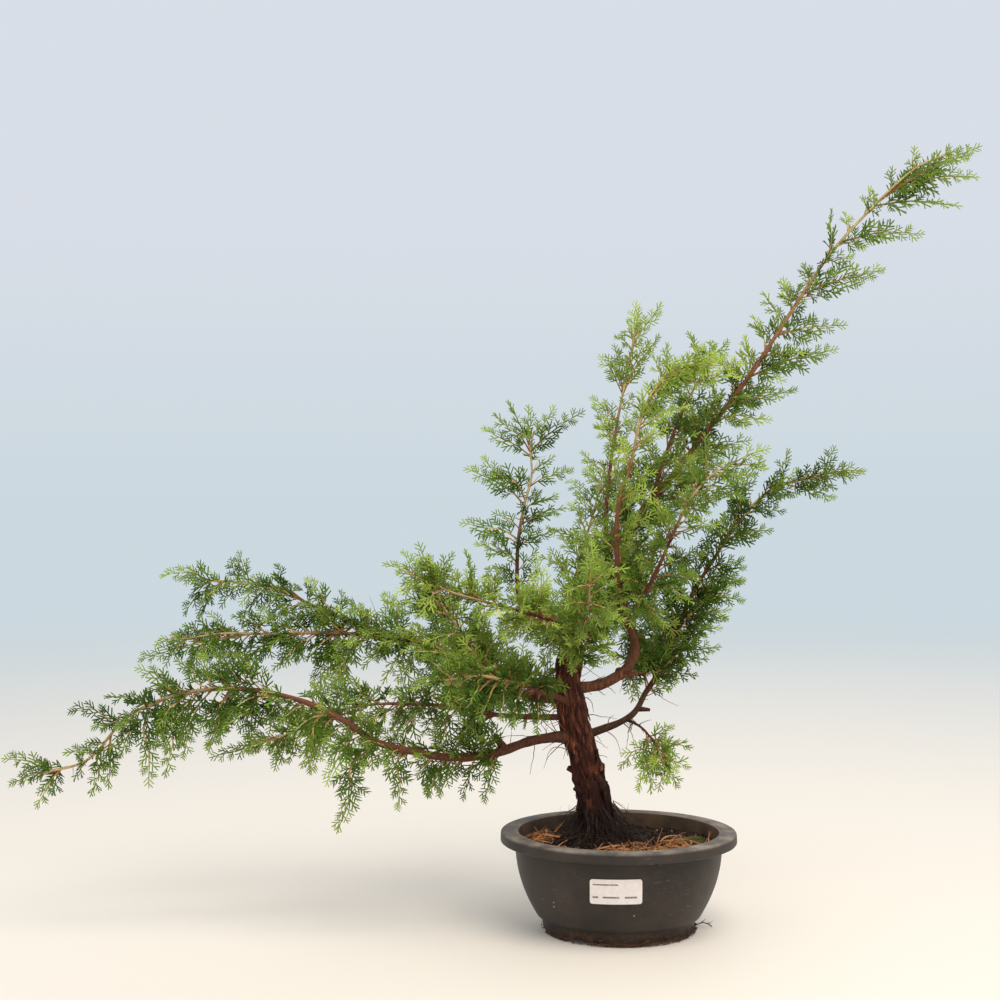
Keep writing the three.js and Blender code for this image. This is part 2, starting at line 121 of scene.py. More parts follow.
# name: (parent, share of the parent's length, radius at the start, radius at the tip, line)
LIMBS = {
    "limb_lower_left": ("trunk", 0.6, 5.6, 1.6, [
        (-51, -18, 87), (-83, -34, 79), (-116, -46, 77), (-148, -54, 83), (-176, -58, 91),
        (-200, -58, 107), (-236, -54, 123), (-280, -48, 131), (-330, -40, 127),
        (-375, -34, 108), (-408, -30, 73), (-449, -26, 61)]),
    "limb_upper_left": ("trunk", 0.75, 5.2, 1.5, [
        (-46, 14, 117), (-79, 30, 126), (-111, 44, 145), (-141, 54, 159), (-181, 60, 164),
        (-227, 62, 167), (-271, 60, 166), (-312, 54, 167), (-345, 50, 163)]),
    "limb_upper_left_fork": ("limb_upper_left", 0.5, 3.2, 1.3, [
        (-212, 70, 178), (-247, 78, 192), (-265, 84, 203), (-300, 88, 208), (-336, 90, 211)]),
    "limb_mid_left": ("trunk", 0.67, 3.4, 1.2, [
        (-51, -6, 104), (-83, -8, 106), (-120, -4, 112), (-161, 2, 114), (-202, 6, 110),
        (-231, 4, 97), (-262, 0, 86)]),
    "limb_left_riser": ("limb_upper_left", 0.1, 3.8, 1.3, [
        (-72, -18, 128), (-94, -46, 152), (-109, -62, 177), (-124, -70, 199),
        (-132, -74, 220)]),
    "limb_main_leader": ("trunk", 0.78, 5.6, 1.5, [
        (-1, 0, 129), (19, 2, 138), (31, 4, 155), (28, 8, 175), (21, 12, 198), (23, 16, 231),
        (36, 20, 268), (63, 20, 300), (89, 16, 334), (124, 8, 380), (157, 0, 432),
        (187, -8, 478), (221, -14, 516), (252, -20, 545), (276, -26, 556)]),
    "limb_left_leader": ("trunk", 0.92, 4.2, 1.3, [
        (-42, 20, 172), (-61, 30, 191), (-65, 34, 214), (-64, 34, 247), (-59, 34, 276),
        (-53, 32, 301), (-55, 28, 326)]),
    "limb_top_left": ("trunk", 0.95, 3.6, 1.2, [
        (-33, -26, 182), (-64, -52, 193), (-95, -66, 202), (-120, -72, 210),
        (-144, -76, 221)]),
    "limb_centre_rear": ("limb_main_leader", 0.22, 3.8, 1.3, [
        (12, 34, 226), (10, 52, 263), (14, 58, 305), (20, 60, 345), (29, 58, 390),
        (34, 55, 418)]),
    "limb_centre_front": ("limb_main_leader", 0.16, 3.8, 1.3, [
        (17, -20, 208), (13, -38, 244), (14, -46, 275), (24, -50, 311), (32, -52, 347),
        (46, -54, 372), (70, -54, 385)]),
    "limb_right": ("trunk", 0.59, 4.2, 1.4, [
        (26, 12, 101), (41, 22, 120), (56, 30, 143), (71, 38, 175), (84, 44, 204),
        (103, 50, 233), (124, 54, 263), (148, 56, 287), (180, 56, 299), (204, 54, 303)]),
    "limb_right_low": ("limb_right", 0.13, 1.7, 1.0, [
        (36, -8, 95), (45, -22, 84), (50, -30, 73), (54, -34, 66)]),
    "limb_centre_right": ("limb_main_leader", 0.215, 3.4, 1.2, [
        (34, -22, 203), (46, -44, 228), (56, -54, 253), (69, -58, 280), (86, -60, 300),
        (104, -60, 309)]),
    "limb_inner_right": ("limb_main_leader", 0.37, 3.2, 1.2, [
        (46, -6, 286), (53, -18, 314), (63, -24, 342), (76, -28, 370), (88, -30, 388)]),
    "limb_front": ("trunk", 0.85, 4, 1.3, [
        (-19, -40, 157), (-15, -80, 179), (-13, -112, 202), (-13, -128, 218)]),
    "limb_rear": ("trunk", 0.91, 4.2, 1.3, [
        (-16, 48, 178), (-14, 84, 207), (-6, 104, 240), (3, 114, 269), (10, 118, 296)]),
    "limb_rear_left": ("trunk", 0.8, 4, 1.3, [
        (-46, 52, 126), (-75, 92, 134), (-108, 118, 143), (-138, 132, 148)]),
    "limb_rear_right": ("limb_main_leader", 0.08, 4, 1.3, [
        (34, 54, 142), (61, 90, 162), (92, 114, 183), (114, 126, 196)]),
    "limb_front_left": ("trunk", 0.725, 4, 1.3, [
        (-44, -44, 128), (-70, -82, 140), (-97, -108, 148), (-121, -120, 145)]),
}

# How much darker (below 0) or paler a limb's bark is than the rest
LIMB_TONES = {
    "limb_right": -0.8, "limb_right_low": -0.8, "limb_left_leader": -0.7, "limb_lower_left": -0.25,
    "limb_main_leader": 0.25, "limb_centre_front": 0.3,
}

# Sawn or broken stubs: (limb, share of its length, direction, length, radius)
STUBS = [
    ("limb_lower_left", 0.14, (-0.6, 0, 0.8), 12, 3),
    ("limb_main_leader", 0.075, (0.9, -0.3, 0.1), 12, 2.4),
    ("limb_right", 0.17, (0.95, 0.1, -0.1), 8, 1.9),
    ("trunk", 0.36, (-0.8, -0.5, 0.5), 7, 4),
    ("trunk", 0.44, (-0.9, -0.2, 0.4), 7, 3.5),
    ("trunk", 0.30, (-0.9, -0.4, 0.3), 5, 3),
    ("trunk", 0.40, (0.75, -0.65, 0.1), 2.5, 5),
    ("trunk", 0.47, (0.93, -0.35, 0.2), 3.5, 5),
    ("trunk", 0.55, (-0.3, -0.95, 0.2), 2.5, 4.5),
]

FRONT = (0.15, -1, 0.2)
FLAT = (0, -0.35, 1)

# name: (limb, first share, last share, short shoots, their reach, face, droop, brightness)
# Droop bends shoots down, or up if negative. Brightness is 0 for plain green leaves, and paler
# leaves are above 0.
SPRAYS = {
    "spray_lower_left_inner": ("limb_lower_left", 0.14, 0.54, 54, 38, FRONT, 0.35, -0.2),
    "spray_lower_left_outer": ("limb_lower_left", 0.54, 0.80, 40, 46, FRONT, 0.4, -0.3),
    "spray_lower_left_tip": ("limb_lower_left", 0.80, 1.0, 8, 24, FRONT, 0.2, -0.4),
    "spray_upper_left_inner": ("limb_upper_left", 0.15, 0.60, 66, 52, FRONT, 0.15, 0.1),
    "spray_upper_left_outer": ("limb_upper_left", 0.60, 1.0, 37, 42, FRONT, 0.3, -0.3),
    "spray_upper_left_fork": ("limb_upper_left_fork", 0.2, 1.0, 31, 36, FRONT, 0.2, -0.2),
    "spray_mid_left": ("limb_mid_left", 0.25, 1.0, 54, 46, FRONT, 0.4, 0.0),
    "spray_left_riser": ("limb_left_riser", 0.25, 1.0, 44, 44, FRONT, 0.0, 0.1),
    "spray_top_left": ("limb_top_left", 0.15, 1.0, 54, 40, FRONT, 0.1, 0.4),
    "spray_left_leader_low": ("limb_left_leader", 0.05, 0.62, 20, 26, FRONT, -0.1, -0.2),
    "spray_left_leader_top": ("limb_left_leader", 0.62, 1.0, 8, 20, FRONT, -0.1, -0.2),
    "spray_main_leader_low": ("limb_main_leader", 0.15, 0.54, 82, 54, FRONT, -0.1, 0.1),
    "spray_main_leader_mid": ("limb_main_leader", 0.54, 0.78, 24, 32, FRONT, -0.1, 0.0),
    "spray_main_leader_top": ("limb_main_leader", 0.78, 1.0, 8, 18, FRONT, -0.1, 0.0),
    "spray_centre_rear": ("limb_centre_rear", 0.1, 1.0, 26, 38, FRONT, -0.3, 0.4),
    "spray_centre_front": ("limb_centre_front", 0.05, 1.0, 36, 36, FRONT, -0.2, 0.3),
    "spray_right_low": ("limb_right", 0.22, 0.62, 46, 44, FRONT, 0.0, -0.5),
    "spray_right_top": ("limb_right", 0.62, 1.0, 24, 34, FRONT, 0.0, -0.3),
    "spray_right_hanging": ("limb_right_low", 0.40, 1.0, 16, 22, FRONT, 0.3, 0.2),
    "spray_centre_right": ("limb_centre_right", 0.1, 1.0, 40, 46, FRONT, 0.0, 0.0),
    "spray_inner_right": ("limb_inner_right", 0.1, 1.0, 28, 36, FRONT, -0.2, 0.1),
    "spray_front": ("limb_front", 0.30, 1.0, 50, 42, FRONT, 0.0, 0.0),
    "spray_rear": ("limb_rear", 0.2, 1.0, 37, 44, FRONT, -0.1, 0.2),
    "spray_rear_left": ("limb_rear_left", 0.2, 1.0, 37, 44, FLAT, 0.1, 0.1),
    "spray_rear_right": ("limb_rear_right", 0.2, 1.0, 37, 44, FLAT, 0.0, 0.1),
    "spray_front_left": ("limb_front_left", 0.35, 1.0, 42, 40, FRONT, 0.1, -0.3),
}

# The longest shoots of each limb: (share of the limb's length, x and z of the shoot's tip)
LONG_SHOOTS = {
    "limb_lower_left": [
        (0.11, -60, 112), (0.12, -82, 118), (0.15, -95, 108), (0.13, -50, 44),
        (0.12, -68, 54), (0.21, -130, 45), (0.27, -135, 45),
        (0.32, -160, 35), (0.36, -210, 15), (0.38, -185, 100), (0.40, -215, 60),
        (0.43, -195, 125), (0.46, -235, 70), (0.50, -220, 75), (0.54, -262, 95), (0.58, -275, 80),
        (0.62, -310, 80), (0.65, -320, 160), (0.68, -330, 75), (0.69, -360, 130),
        (0.71, -365, 150), (0.71, -345, 60), (0.77, -355, 55), (0.81, -420, 115),
        (0.83, -405, 100), (0.85, -392, 50), (0.87, -408, 42), (0.89, -425, 80),
        (0.94, -480, 72), (0.96, -470, 55), (0.96, -450, 35)],
    "limb_upper_left": [
        (0.42, -165, 110), (0.47, -180, 200), (0.53, -205, 195), (0.57, -225, 110),
        (0.62, -250, 195), (0.72, -325, 125), (0.84, -385, 145), (0.88, -365, 160)],
    "limb_upper_left_fork": [
        (0.30, -245, 215), (0.49, -295, 215), (0.71, -320, 207), (0.85, -372, 217)],
    "limb_mid_left": [
        (0.38, -135, 70), (0.51, -160, 70), (0.62, -200, 125), (0.76, -255, 75),
        (0.88, -285, 75), (0.94, -265, 72), (1.0, -315, 70)],
    "limb_left_riser": [(0.49, -120, 170), (0.70, -135, 210), (0.80, -158, 195)],
    "limb_top_left": [
        (0.30, -50, 235), (0.67, -105, 220), (0.67, -80, 222), (0.83, -158, 226),
        (0.83, -135, 238)],
    "limb_left_leader": [
        (0.49, -100, 245), (0.57, -95, 252), (0.59, -112, 262), (0.74, -108, 308),
        (0.76, -95, 316), (0.95, -94, 340), (0.97, -84, 351), (0.99, -72, 362),
        (1.0, -56, 358), (0.97, -10, 355), (0.98, -34, 358), (0.82, -18, 306),
        (0.71, -30, 286), (0.66, -25, 275), (0.55, -35, 256), (0.40, -85, 225)],
    "limb_main_leader": [
        (0.16, 35, 118), (0.17, 52, 128), (0.18, -10, 190), (0.20, 75, 165),
        (0.91, 308, 566), (0.89, 298, 558), (0.91, 315, 545), (0.88, 290, 517),
        (0.81, 264, 497), (0.72, 228, 464), (0.65, 205, 425), (0.58, 198, 405),
        (0.52, 165, 372), (0.50, 145, 347), (0.91, 236, 547), (0.86, 220, 532),
        (0.78, 190, 516), (0.74, 166, 472), (0.69, 150, 460), (0.64, 125, 425),
        (0.65, 148, 436), (0.57, 108, 395), (0.59, 120, 415), (0.46, 75, 352),
        (0.43, 125, 330), (0.40, 100, 300), (0.36, 95, 270), (0.34, 20, 330)],
    "limb_centre_rear": [
        (0.61, 8, 362), (0.78, 18, 412), (0.78, 55, 420), (0.93, 56, 446), (0.99, 36, 448)],
    "limb_centre_front": [
        (0.72, 68, 356), (0.72, 60, 386), (0.84, 82, 402), (0.86, 102, 396),
        (0.91, 112, 388), (0.87, 92, 374)],
    "limb_right": [
        (0.31, 75, 145), (0.37, 85, 160), (0.40, 97, 176), (0.43, 110, 185),
        (0.47, 125, 198), (0.49, 125, 216), (0.56, 126, 232), (0.61, 142, 318),
        (0.66, 152, 256), (0.71, 118, 306), (0.74, 142, 282), (0.79, 172, 306),
        (0.87, 205, 282), (0.88, 196, 311), (0.91, 228, 306)],
    "limb_right_low": [
        (0.50, 61, 99), (0.55, 15, 66), (0.61, 41, 45), (0.61, 76, 80), (0.61, 64, 60),
        (0.61, 30, 47)],
}

# Patches on the soil: name: (x, y, half length, half width)
LITTERS = {
    "litter_left": (-60, 12, 15, 20),
    "litter_front": (0, -43, 32, 14),
    "litter_right": (46, -20, 15, 16),
}
MOSS = (58, 10, 14, 16)


# ---- Settings ------------------------------------------------------------------------------

def colour(name, description, default):
    """A colour that a user can change."""
    return FloatVectorProperty(
        name=name, description=description, subtype="COLOR", size=3, min=0, max=1,
        default=default)


def distance(name, description, default):
    """A length in metres that a user can change."""
    return FloatProperty(
        name=name, description=description, subtype="DISTANCE", unit="LENGTH", min=0,
        default=default)


def whole(name, description, default):
    """A whole number that a user can change."""
    return IntProperty(name=name, description=description, default=default, min=0)


class PotSettings(bpy.types.PropertyGroup):
    """Colours and detail of the pot and its label"""
    plastic: colour("Plastic", "Moulded plastic where it is clean", (0.021, 0.0155, 0.012))
    faded: colour("Faded plastic", "Plastic where it has weathered", (0.044, 0.032, 0.025))
    dust: colour("Dust", "Dry dust on the lip and in the scuffs", (0.31, 0.25, 0.19))
    speck: colour("Specks", "Pale specks splashed on the plastic", (0.45, 0.38, 0.30))
    dried_mud: colour("Dried mud", "Mud dried on the inside of the wall", (0.17, 0.10, 0.055))
    foot_dirt: colour("Foot dirt", "Reddish dirt round the foot", (0.11, 0.042, 0.020))
    bead: distance("Bead", "Height of the fine line moulded round the lip", 0.0005)
    label_paper: colour("Label", "Paper of the blank label", (0.84, 0.76, 0.72))
    label_grubby: colour("Grubby label", "Paper where it has been handled", (0.72, 0.63, 0.58))
    label_ink: colour("Ink", "The label's plain ruled bars", (0.10, 0.09, 0.09))


class GroundSettings(bpy.types.PropertyGroup):
    """Colours and sizes of what fills the pot"""
    soil: colour("Soil", "Damp compost", (0.016, 0.010, 0.007))
    soil_dry: colour("Dry soil", "Drier crumbs of compost", (0.075, 0.040, 0.022))
    grit: colour("Grit", "The few pale grains of grit", (0.30, 0.22, 0.14))
    lump: distance("Lumps", "Height of the soil's lumps", 0.0035)
    crumbs: whole("Crumbs", "Loose crumbs on the soil", 2600)
    root: colour("Root", "Fine dead roots", (0.045, 0.022, 0.013))
    straw: colour("Dry needle", "Fallen dry needles", (0.64, 0.28, 0.10))
    straw_dark: colour("Old dry needle", "Older fallen needles", (0.13, 0.055, 0.025))
    moss: colour("Moss", "Moss on the soil", (0.10, 0.12, 0.028))
    moss_tip: colour("Moss tips", "The palest blades of moss", (0.20, 0.20, 0.055))
    needle_length: distance("Needle length", "Longest fallen needle", 0.030)


class BarkSettings(bpy.types.PropertyGroup):
    """Colours and depth of the bark"""
    ridge: colour("Ridges", "Bark on the raised strips", (0.062, 0.0165, 0.0080))
    groove: colour("Grooves", "Bark in the grooves", (0.007, 0.0035, 0.0028))
    limb: colour("Limb ridges", "Bark on the limbs' raised strips", (0.150, 0.054, 0.023))
    limb_groove: colour("Limb grooves", "Bark in the limbs' grooves", (0.030, 0.011, 0.006))
    fresh: colour("Fresh bark", "Reddish bark where a flake has come off", (0.20, 0.066, 0.030))
    young: colour("Young bark", "Thin reddish bark on the limbs", (0.220, 0.080, 0.036))
    yellow: colour("Yellow bark", "Yellow bark at the limbs' tips", (0.50, 0.38, 0.15))
    depth: distance("Relief", "Depth of the grooves in the trunk", 0.0022)
    flakes: whole("Flakes", "Peeling flakes on the trunk", 240)


class FoliageSettings(bpy.types.PropertyGroup):
    """Colours, spacing and sizes of the foliage"""
    # The inner leaf colour is partly the older leaves' own darker green and partly painted shade deep
    # in the crown.
    inner: colour("Inner leaf", "Old leaves inside the crown", (0.012, 0.030, 0.004))
    leaf: colour("Leaf", "Leaves in full growth", (0.072, 0.130, 0.010))
    tip: colour("Tip", "New leaves at the tips", (0.235, 0.315, 0.048))
    twig: colour("Twig", "Green twig among the leaves", (0.33, 0.34, 0.09))
    twig_young: colour("Young twig", "Yellow twig between wood and leaves", (0.50, 0.31, 0.10))
    twig_wood: colour("Woody twig", "Brown twig at a shoot's base", (0.20, 0.065, 0.028))
    frond_gap: distance("Frond gap", "Distance between fronds along a shoot", 0.0041)
    sprig_gap: distance("Sprig gap", "Distance between sprigs along a frond", 0.0035)
    sprig_length: distance("Sprig", "Length of a full sprig", 0.0122)
    seed: whole("Seed", "Start of the random draws", 7)


class StageSettings(bpy.types.PropertyGroup):
    """Floor, light and camera"""
    floor: colour("Floor", "The pale floor near the pot", (0.80, 0.705, 0.585))
    haze: colour("Haze", "The backdrop near the horizon", (0.60, 0.69, 0.74))
    sky: colour("Backdrop", "The backdrop higher up", (0.69, 0.73, 0.80))
    eye: FloatVectorProperty(
        name="Camera", description="The camera's place", subtype="TRANSLATION", unit="LENGTH",
        size=3, default=(-0.0964, -1.390, 0.349))
    lens: FloatProperty(name="Lens", description="Focal length in millimetres", default=61.4, min=1)


# ---- Lines ---------------------------------------------------------------------------------

class Line:
    """A smooth line through points, read by a share of its length. Past its end it is straight."""

    def __init__(self, points, fineness=12):
        first, last = 2 * points[0] - points[1], 2 * points[-1] - points[-2]
        guides = [first, *points, last]
        dense = []
        for before, start, end, after in zip(guides, guides[1:], guides[2:], guides[3:]):
            lead, trail = start + (end - before) / 6, end - (after - start) / 6
            dense += interpolate_bezier(start, lead, trail, end, fineness)[:-1]
        dense.append(points[-1])
        self.points = dense
        steps = [(b - a).length for a, b in zip(dense, dense[1:])]
        self.reached = numpy.concatenate([[0], numpy.cumsum(steps)])
        self.length = float(self.reached[-1])

    def at(self, share):
        """The point at a share of the length."""
        place = share * self.length
        i = int(numpy.searchsorted(self.reached, place)) - 1
        i = max(0, min(i, len(self.points) - 2))
        span = self.reached[i + 1] - self.reached[i]
        return self.points[i].lerp(self.points[i + 1], (place - self.reached[i]) / span)

    def heading(self, share):
        """The direction of the line at a share of the length."""
        step = 0.012
        low, high = max(0, share - step), min(1, share + step)
        return (self.at(high) - self.at(low)).normalized()


def tree_point(place):
    """A point given from the trunk's foot in millimetres, in the object's frame in metres."""
    x, y, z = place
    return Vector((x + TRUNK_X, y, z + SOIL_TOP)) * MM


def wood_lines():
    """The lines of the trunk and the limbs, each limb from its parent's line."""
    lines = {"trunk": Line([tree_point(p) for p in TRUNK_LINE])}
    for name, (parent, share, _, _, line) in LIMBS.items():
        start = lines[parent].at(share)
        lines[name] = Line([start, *[tree_point(p) for p in line]])
    return lines


def limb_radius(name, share):
    """A limb's or the trunk's plain radius in metres at a share of its length."""
    if name == "trunk":
        place = min(share, 0.9999) * (len(TRUNK_GIRTHS) - 1)
        i = int(place)
        low, high = TRUNK_GIRTHS[i], TRUNK_GIRTHS[i + 1]
        return TRUNK_RADIUS * (low + (high - low) * (place - i)) * MM
    _, _, start, end, _ = LIMBS[name]
    return (start + (0.5 * end - start) * min(share, 1) ** LIMB_TAPER) * MM


# ---- Meshes --------------------------------------------------------------------------------

def mesh_of(name, shape, smooth=True):
    """A finished bmesh as a mesh."""
    mesh = bpy.data.meshes.new(name)
    shape.to_mesh(mesh)
    shape.free()
    mesh.polygons.foreach_set("use_smooth", [smooth] * len(mesh.polygons))
    return mesh


def add_piece(name, mesh, materials, nodes):
    """A mesh as a piece that stands for some of the CAD nodes."""
    for material in materials:
        mesh.materials.append(material)
    piece = bpy.data.objects.new(name, mesh)
    bpy.context.scene.collection.objects.link(piece)
    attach(piece, "root")
    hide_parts(*nodes)


def spun(outline, steps):
    """A shape turned about the Z axis from [radius, height] points that start and end on it."""
    shape = bmesh.new()
    corners = [shape.verts.new((r * MM, 0, z * MM)) for r, z in outline]
    edges = [shape.edges.new(pair) for pair in zip(corners, corners[1:])]
    bmesh.ops.spin(
        shape, geom=corners + edges, cent=(0, 0, 0), axis=(0, 0, 1), dvec=(0, 0, 0),
        angle=TURN, steps=steps, use_merge=True, use_duplicate=False)
    bmesh.ops.remove_doubles(shape, verts=shape.verts, dist=1e-6)
    bmesh.ops.recalc_face_normals(shape, faces=shape.faces)
    return shape


def add_tube(shape, line, sides, steps, radius_at):
    """Adds a closed tube along a line to a shape. radius_at(share, turn) is its radius in metres.
    Its UVs are metres round and along it."""
    grid = bmesh.ops.create_grid(shape, x_segments=sides, y_segments=steps, size=0.5)
    skin = grid["verts"]
    shares = [i / steps for i in range(steps + 1)]
    centres, sideways, outwards = [], [], []
    side = line.heading(shares[0]).orthogonal().normalized()
    for share in shares:
        heading = line.heading(share)
        side = (side - heading * side.dot(heading)).normalized()
        centres.append(line.at(share))
        sideways.append(side.copy())
        outwards.append(heading.cross(side))
    uv_layer = shape.loops.layers.uv.verify()
    girth = TURN * radius_at(0.5, 0)
    faces = {face for vert in skin for face in vert.link_faces}
    for face in faces:
        for loop in face.loops:
            x, y, _ = loop.vert.co
            loop[uv_layer].uv = ((x + 0.5) * girth, (y + 0.5) * line.length)
    for vert in skin:
        x, y, _ = vert.co
        turn = (x + 0.5) * TURN
        i = round((y + 0.5) * steps)
        radius = radius_at(shares[i], turn % TURN)
        across = sideways[i] * math.cos(turn) + outwards[i] * math.sin(turn)
        vert.co = centres[i] + across * radius
    bmesh.ops.remove_doubles(shape, verts=skin, dist=1e-7)
    rims = [e for e in shape.edges if e.is_boundary]
    caps = bmesh.ops.holes_fill(shape, edges=rims, sides=0)["faces"]
    bmesh.ops.poke(shape, faces=caps)


def read_numbers(data, name, size):
    """The numbers that points or an attribute hold, a row for each."""
    values = numpy.zeros(len(data) * size, numpy.float32)
    data.foreach_get(name, values)
    return values.reshape(-1, size)


class Stamps:
    """Copies of small shapes, gathered first, then turned, sized and placed all at once."""

    def __init__(self, shapes):
        self.shapes = shapes
        self.places = {name: [] for name in shapes}

    def add(self, name, matrix, fresh=0.0, tone=0.0):
        """Adds a copy. fresh and tone go into point attributes for its material."""
        self.places[name].append((matrix, fresh, tone))

    def mesh(self, name, start=None):
        """The copies as one mesh, after the faces of the mesh start if there is one."""
        out = bmesh.new()
        points, fresh, tone = [], [], []
        if start:
            out.from_mesh(start)
            points.append(read_numbers(start.vertices, "co", 3))
            fresh.append(numpy.zeros(len(start.vertices)))
            tone.append(numpy.zeros(len(start.vertices)))
        for shape_name, places in self.places.items():
            if not places:
                continue
            shape = self.shapes[shape_name]
            corners = read_numbers(shape.vertices, "co", 3)
            for _ in places:
                out.from_mesh(shape)
            moves = numpy.array([matrix for matrix, _, _ in places], numpy.float32)
            turned = numpy.einsum("kij,nj->kni", moves[:, :3, :3], corners)
            points.append((turned + moves[:, None, :3, 3]).reshape(-1, 3))
            fresh.append(numpy.repeat([f for _, f, _ in places], len(corners)))
            tone.append(numpy.repeat([t for _, _, t in places], len(corners)))
        mesh = bpy.data.meshes.new(name)
        out.to_mesh(mesh)
        out.free()
        mesh.vertices.foreach_set("co", numpy.concatenate(points).ravel())
        for label, values in (("fresh", fresh), ("tone", tone)):
            attribute = mesh.attributes.new(label, "FLOAT", "POINT")
            attribute.data.foreach_set("value", numpy.concatenate(values).astype(numpy.float32))
        mesh.update()
        return mesh


def aim(start, heading, length, width, normal=None):
    """A matrix that lays a shape's Z along a heading, with its Y near a normal."""
    along = heading.normalized()
    reference = normal if normal is not None else along.orthogonal()
    side = reference.cross(along)
    if side.length < 1e-6:
        side = along.orthogonal()
    side.normalize()
    other = along.cross(side)
    return Matrix((
        (side.x * width, other.x * width, along.x * length, start.x),
        (side.y * width, other.y * width, along.y * length, start.y),
        (side.z * width, other.z * width, along.z * length, start.z),
        (0, 0, 0, 1)))


def unit_shape(name, shape, material_index=0):
    """A small shape as a mesh that Stamps can copy."""
    for face in shape.faces:
        face.material_index = material_index
    return mesh_of(name, shape, smooth=False)


def twig_shape(sides, material_index):
    """A short piece of twig, 1 long and 1 in radius."""
    shape = bmesh.new()
    bmesh.ops.create_cone(
        shape, cap_ends=True, segments=sides, radius1=1, radius2=0.86, depth=1.1,
        matrix=Matrix.Translation((0, 0, 0.5)))
    return unit_shape("twig", shape, material_index)


def add_needle(shape, base, heading, length, width, cord=False):
    """Adds a leaf to a shape, closed at both ends: an even cord, or a point widest near its base."""
    needle = bmesh.ops.create_uvsphere(
        shape, u_segments=3, v_segments=3 if cord else 2, radius=1)
    verts = needle["verts"]
    for vert in verts:
        z = vert.co.z
        if cord:
            vert.co.z = 0.5 + math.copysign(0.5 * abs(z) ** 0.4, z)
        else:
            vert.co.z = 0.3 + z * (0.7 if z > 0 else 0.3)
    bmesh.ops.transform(shape, verts=verts, matrix=aim(Vector(base), Vector(heading), length, width))


def sprig_shape(needles, spread, lift, width, cord):
    """A sprig 1 long: a cord with leaves on alternate sides, mostly in the XZ plane."""
    shape = bmesh.new()
    add_needle(shape, (0, 0, -0.05), (0, 0, 1), 1.05, width, cord)
    for i in range(needles):
        side = 1 if i % 2 else -1
        share = i / needles
        out = lift * (1 if i % 4 < 2 else -1)
        heading = (side * math.sin(spread), out, math.cos(spread))
        add_needle(
            shape, (0, 0, 0.06 + 0.66 * share), heading, 0.62 - 0.24 * share, width, cord)
    return unit_shape("sprig", shape)


def straw_shape(bend):
    """A dry needle 1 long, bent in the XZ plane."""
    shape = bmesh.new()
    bmesh.ops.create_cone(shape, cap_ends=True, segments=3, radius1=1, radius2=1, depth=1)
    upright = [e for e in shape.edges if abs(e.verts[0].co.z - e.verts[1].co.z) > 0.5]
    bmesh.ops.subdivide_edges(shape, edges=upright, cuts=5, use_grid_fill=True)
    for vert in shape.verts:
        share = vert.co.z + 0.5
        girth = 0.036 * (0.35 + 0.65 * math.sin(math.pi * min(share * 1.1 + 0.1, 1)))
        vert.co.x = vert.co.x * girth + bend * (1 - (2 * share - 1) ** 2)
        vert.co.y = vert.co.y * girth
    return unit_shape("straw", shape)


def crumb_shape():
    """A crumb about 1 in radius."""
    shape = bmesh.new()
    bmesh.ops.create_icosphere(shape, subdivisions=1, radius=1)
    for vert in shape.verts:
        vert.co *= 1 + 0.35 * noise.noise(vert.co * 1.7)
    return unit_shape("crumb", shape)


def blade_shape():
    """A blade of moss 1 long."""
    shape = bmesh.new()
    bmesh.ops.create_cone(
        shape, cap_ends=True, segments=3, radius1=1, radius2=0, depth=1,
        matrix=aim(Vector(), UP, 1, 0.16) @ Matrix.Translation((0, 0, 0.5)))
    return unit_shape("blade", shape)


def flake_shape():
    """A flake of bark 1 long and about 0.3 wide, curling off at its lower end."""
    shape = bmesh.new()
    bmesh.ops.create_grid(shape, x_segments=2, y_segments=5, size=0.5)
    for vert in shape.verts:
        x, y, _ = vert.co
        share = y + 0.5
        width = 0.26 * math.sin(math.pi * (0.12 + 0.76 * share))
        vert.co = (x * width, 0.05 * abs(x) * 2 - 0.12 * (1 - share) ** 2, share)
    bmesh.ops.solidify(shape, geom=shape.faces[:], thickness=0.02)
    bmesh.ops.recalc_face_normals(shape, faces=shape.faces)
    return unit_shape("flake", shape)


def strand(stamps, rng, start, heading, length, width, pull, wander, tone=0.0, fresh=0.0):
    """Lays a thin strand of twig stamps that tapers, bends by its pull and wanders."""
    step = 0.0035
    point = start.copy()
    heading = heading.normalized()
    for i in range(max(2, round(length / step))):
        drift = Vector((rng.gauss(0, 1), rng.gauss(0, 1), rng.gauss(0, 1)))
        heading = (heading + pull + drift * wander).normalized()
        share = i * step / length
        stamps.add("twig", aim(point, heading, step, width * (1 - 0.7 * share)), fresh, tone)
        point = point + heading * step


def spoke(turn):
    """The level direction at a turn about the Z axis."""
    return Vector((math.cos(turn), math.sin(turn), 0))


# ---- Materials -----------------------------------------------------------------------------

